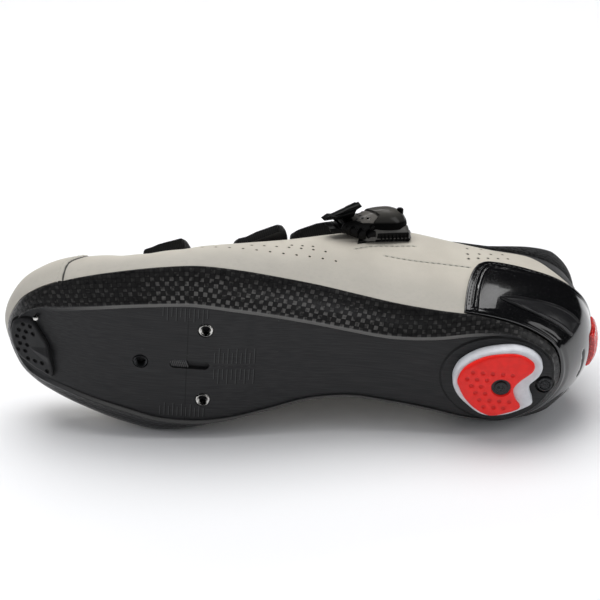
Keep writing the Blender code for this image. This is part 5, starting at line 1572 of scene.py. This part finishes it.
def makeLever():
    wing = [(15.3, 16.6), (14.4, 15.6), (18.2, 13.2), (19.0, 10.6), (24.2, 9.8), (30.0, 9.2), (33.0, 8.9),
            (33.2, 9.3), (30.4, 11.3), (28.4, 11.1), (26.0, 12.2), (20.6, 14.6)]
    ridge = [(17.5, 14.2), (27.5, 11.2), (30.5, 11.6), (31.5, 11.0), (27.5, 10.4), (18.4, 12.6)]
    arm = [(15.6, 15.4), (20.4, 13.2), (22.5, 9.6), (20.0, 8.4), (17.2, 9.8), (16.4, 13.0)]
    parts = [sidewise(wing, -1.3, 2.9, 0.35, 0.97), sidewise(ridge, 2.7, 3.9, 0.3),
             sidewise(arm, -4.6, 0.5, 0.4)]
    makeBit("buckleLever", parts, darkPlastic, ["buckle_lever"])
    cheek = [(6.5, 0.9), (12.0, 0.6), (17.0, 1.4), (22.5, 3.4), (25.5, 6.4), (24.2, 9.0), (18.5, 10.2),
             (15.0, 8.6), (9.5, 8.4), (6.0, 6.5)]
    teeth = [(8.0, 2.0)]
    for i in range(9):
        teeth += [(9.0 + 2.2 * i, 3.6 + 0.34 * i), (9.4 + 2.2 * i, 2.7 + 0.34 * i)]
    teeth += [(30.0, 5.0), (29.6, 3.9), (9.0, 0.9)]
    blocks = [sidewise(cheek, 5.9, 7.1, 0.25), sidewise(cheek, -7.1, -5.9, 0.25),
              sidewise(teeth, -4.3, 4.3, 0.12),
              sidewise([(8.4, 0.8), (12.4, 0.6), (13.0, 3.4), (11.4, 5.6), (8.8, 5.0)], 7.0, 8.9, 0.3),
              sidewise([(13.4, 1.0), (16.6, 1.3), (17.4, 4.0), (15.8, 6.6), (13.8, 5.2)], 7.0, 8.4, 0.3),
              sidewise([(17.6, 2.6), (20.8, 3.6), (21.6, 6.6), (19.2, 7.6), (17.8, 5.4)], 7.0, 8.1, 0.3),
              sidewise(roundOutline((22.3, 6.6), 1.25, 20), -7.7, 7.8, 0.15),
              sidewise(roundOutline((10.3, 6.9), 0.9, 20), -7.7, 7.8, 0.15)]
    makeBit("buckleRatchet", blocks, darkPlastic)
    knob = [(*ab, c) for r, c in ((0.2, 13.7), (1.1, 13.6), (1.6, 13.1), (1.7, 11.0))
            for ab in roundOutline((-5.2, 1.2), r, 24)]
    makePiece("buckleKnob", inBuckle(knob), tubeFaces(4, 24), darkPlastic, "matte_black", sharp=50)


makeBuckleBase()
makeDial()
makeLever()
print("stage: buckle")

# floor, lights and camera
viewLook = {"tilt": 31.0, "roll": 4.3, "distance": 0.900, "focal": 1980.0, "anchor": (0.183, 0.0, 0.004),
            "anchorPixel": (204.0, 365.5), "frame": 600.0}


def makeCamera():
    tilt, roll = math.radians(viewLook["tilt"]), math.radians(viewLook["roll"])
    right, up = np.array([-1, 0, 0.0]), np.array([0, math.cos(tilt), math.sin(tilt)])
    back = np.array([0, math.sin(tilt), -math.cos(tilt)])
    cameraRight = math.cos(roll) * right + math.sin(roll) * up
    cameraUp = -math.sin(roll) * right + math.cos(roll) * up
    half, focal = viewLook["frame"] / 2, viewLook["focal"]
    x, y = (viewLook["anchorPixel"][0] - half) / focal, (half - viewLook["anchorPixel"][1]) / focal
    eye = np.array(viewLook["anchor"]) - viewLook["distance"] * (-back + x * cameraRight + y * cameraUp)
    data = bpy.data.cameras.new("photoCamera")
    data.sensor_width = 36.0
    data.lens = focal / viewLook["frame"] * 36.0
    data.clip_start, data.clip_end = 0.05, 20.0
    camera = bpy.data.objects.new("photoCamera", data)
    scene.collection.objects.link(camera)
    axes = turn @ np.stack([cameraRight, cameraUp, back], axis=1)
    camera.matrix_world = Matrix.Translation(Vector(toWorld(eye))) @ Matrix(axes.tolist()).to_4x4()
    scene.camera = camera


def makeLight(name, place, aim, size, power, gloss=True, kind="AREA"):
    data = bpy.data.lights.new(name, kind)
    data.energy = power
    if kind == "AREA":
        data.shape, data.size, data.size_y = "RECTANGLE", size[0], size[1]
    else:
        data.angle = math.radians(size)
    light = bpy.data.objects.new(name, data)
    scene.collection.objects.link(light)
    light.location = place
    light.visible_glossy = gloss
    light.rotation_euler = (Vector(aim) - Vector(place)).to_track_quat("-Z", "Y").to_euler()


def makeStage():
    mesh = bpy.data.meshes.new("floor")
    mesh.from_pydata([(-6, -6, 0), (6, -6, 0), (6, 6, 0), (-6, 6, 0)], [], [(0, 1, 2, 3)])
    f = Finish("paleFloor", roughness=0.55, specularLevel=0.3)
    cloud = f.noise(f.add("ShaderNodeTexCoord", {}, {}, "Object"), 3.0, 2.0)
    mesh.materials.append(f.wear(baseColor=f.mix(cloud, (0.86, 0.86, 0.865), (0.88, 0.88, 0.885))))
    floor = bpy.data.objects.new("floor", mesh)
    scene.collection.objects.link(floor)
    world = bpy.data.worlds.new("studio")
    world.use_nodes = True
    world.node_tree.nodes["Background"].inputs[0].default_value = (0.93, 0.95, 1.0, 1.0)
    world.node_tree.nodes["Background"].inputs[1].default_value = 0.355
    scene.world = world
    scene.view_settings.view_transform = "Standard"
    world.cycles_visibility.glossy = False  # gloss shows the boxes and the floor only
    makeLight("softSky", (-0.10, 0.25, 1.10), (0, 0, 0), 60, 1.10, gloss=False, kind="SUN")
    makeLight("topBox", (-0.10, 0.25, 1.10), (0, 0, 0.05), (1.2, 0.8), 7.0, gloss=False)
    makeLight("leftBox", (-1.00, -0.55, 0.75), (0, 0, 0.05), (0.6, 0.8), 2.2, gloss=False)
    makeLight("rightBox", (0.95, -0.35, 0.65), (0.05, 0, 0.05), (0.5, 0.8), 1.6)
    makeLight("edgeStrip", (-0.15, 0.60, 0.55), (0, 0, 0.05), (0.7, 0.08), 0.8)
    makeLight("cupBox", (0.26, 0.47, 0.80), (0.088, -0.022, 0.066), (0.13, 0.16), 0.13)


makeCamera()
makeStage()
print("stage: floor, lights, camera")
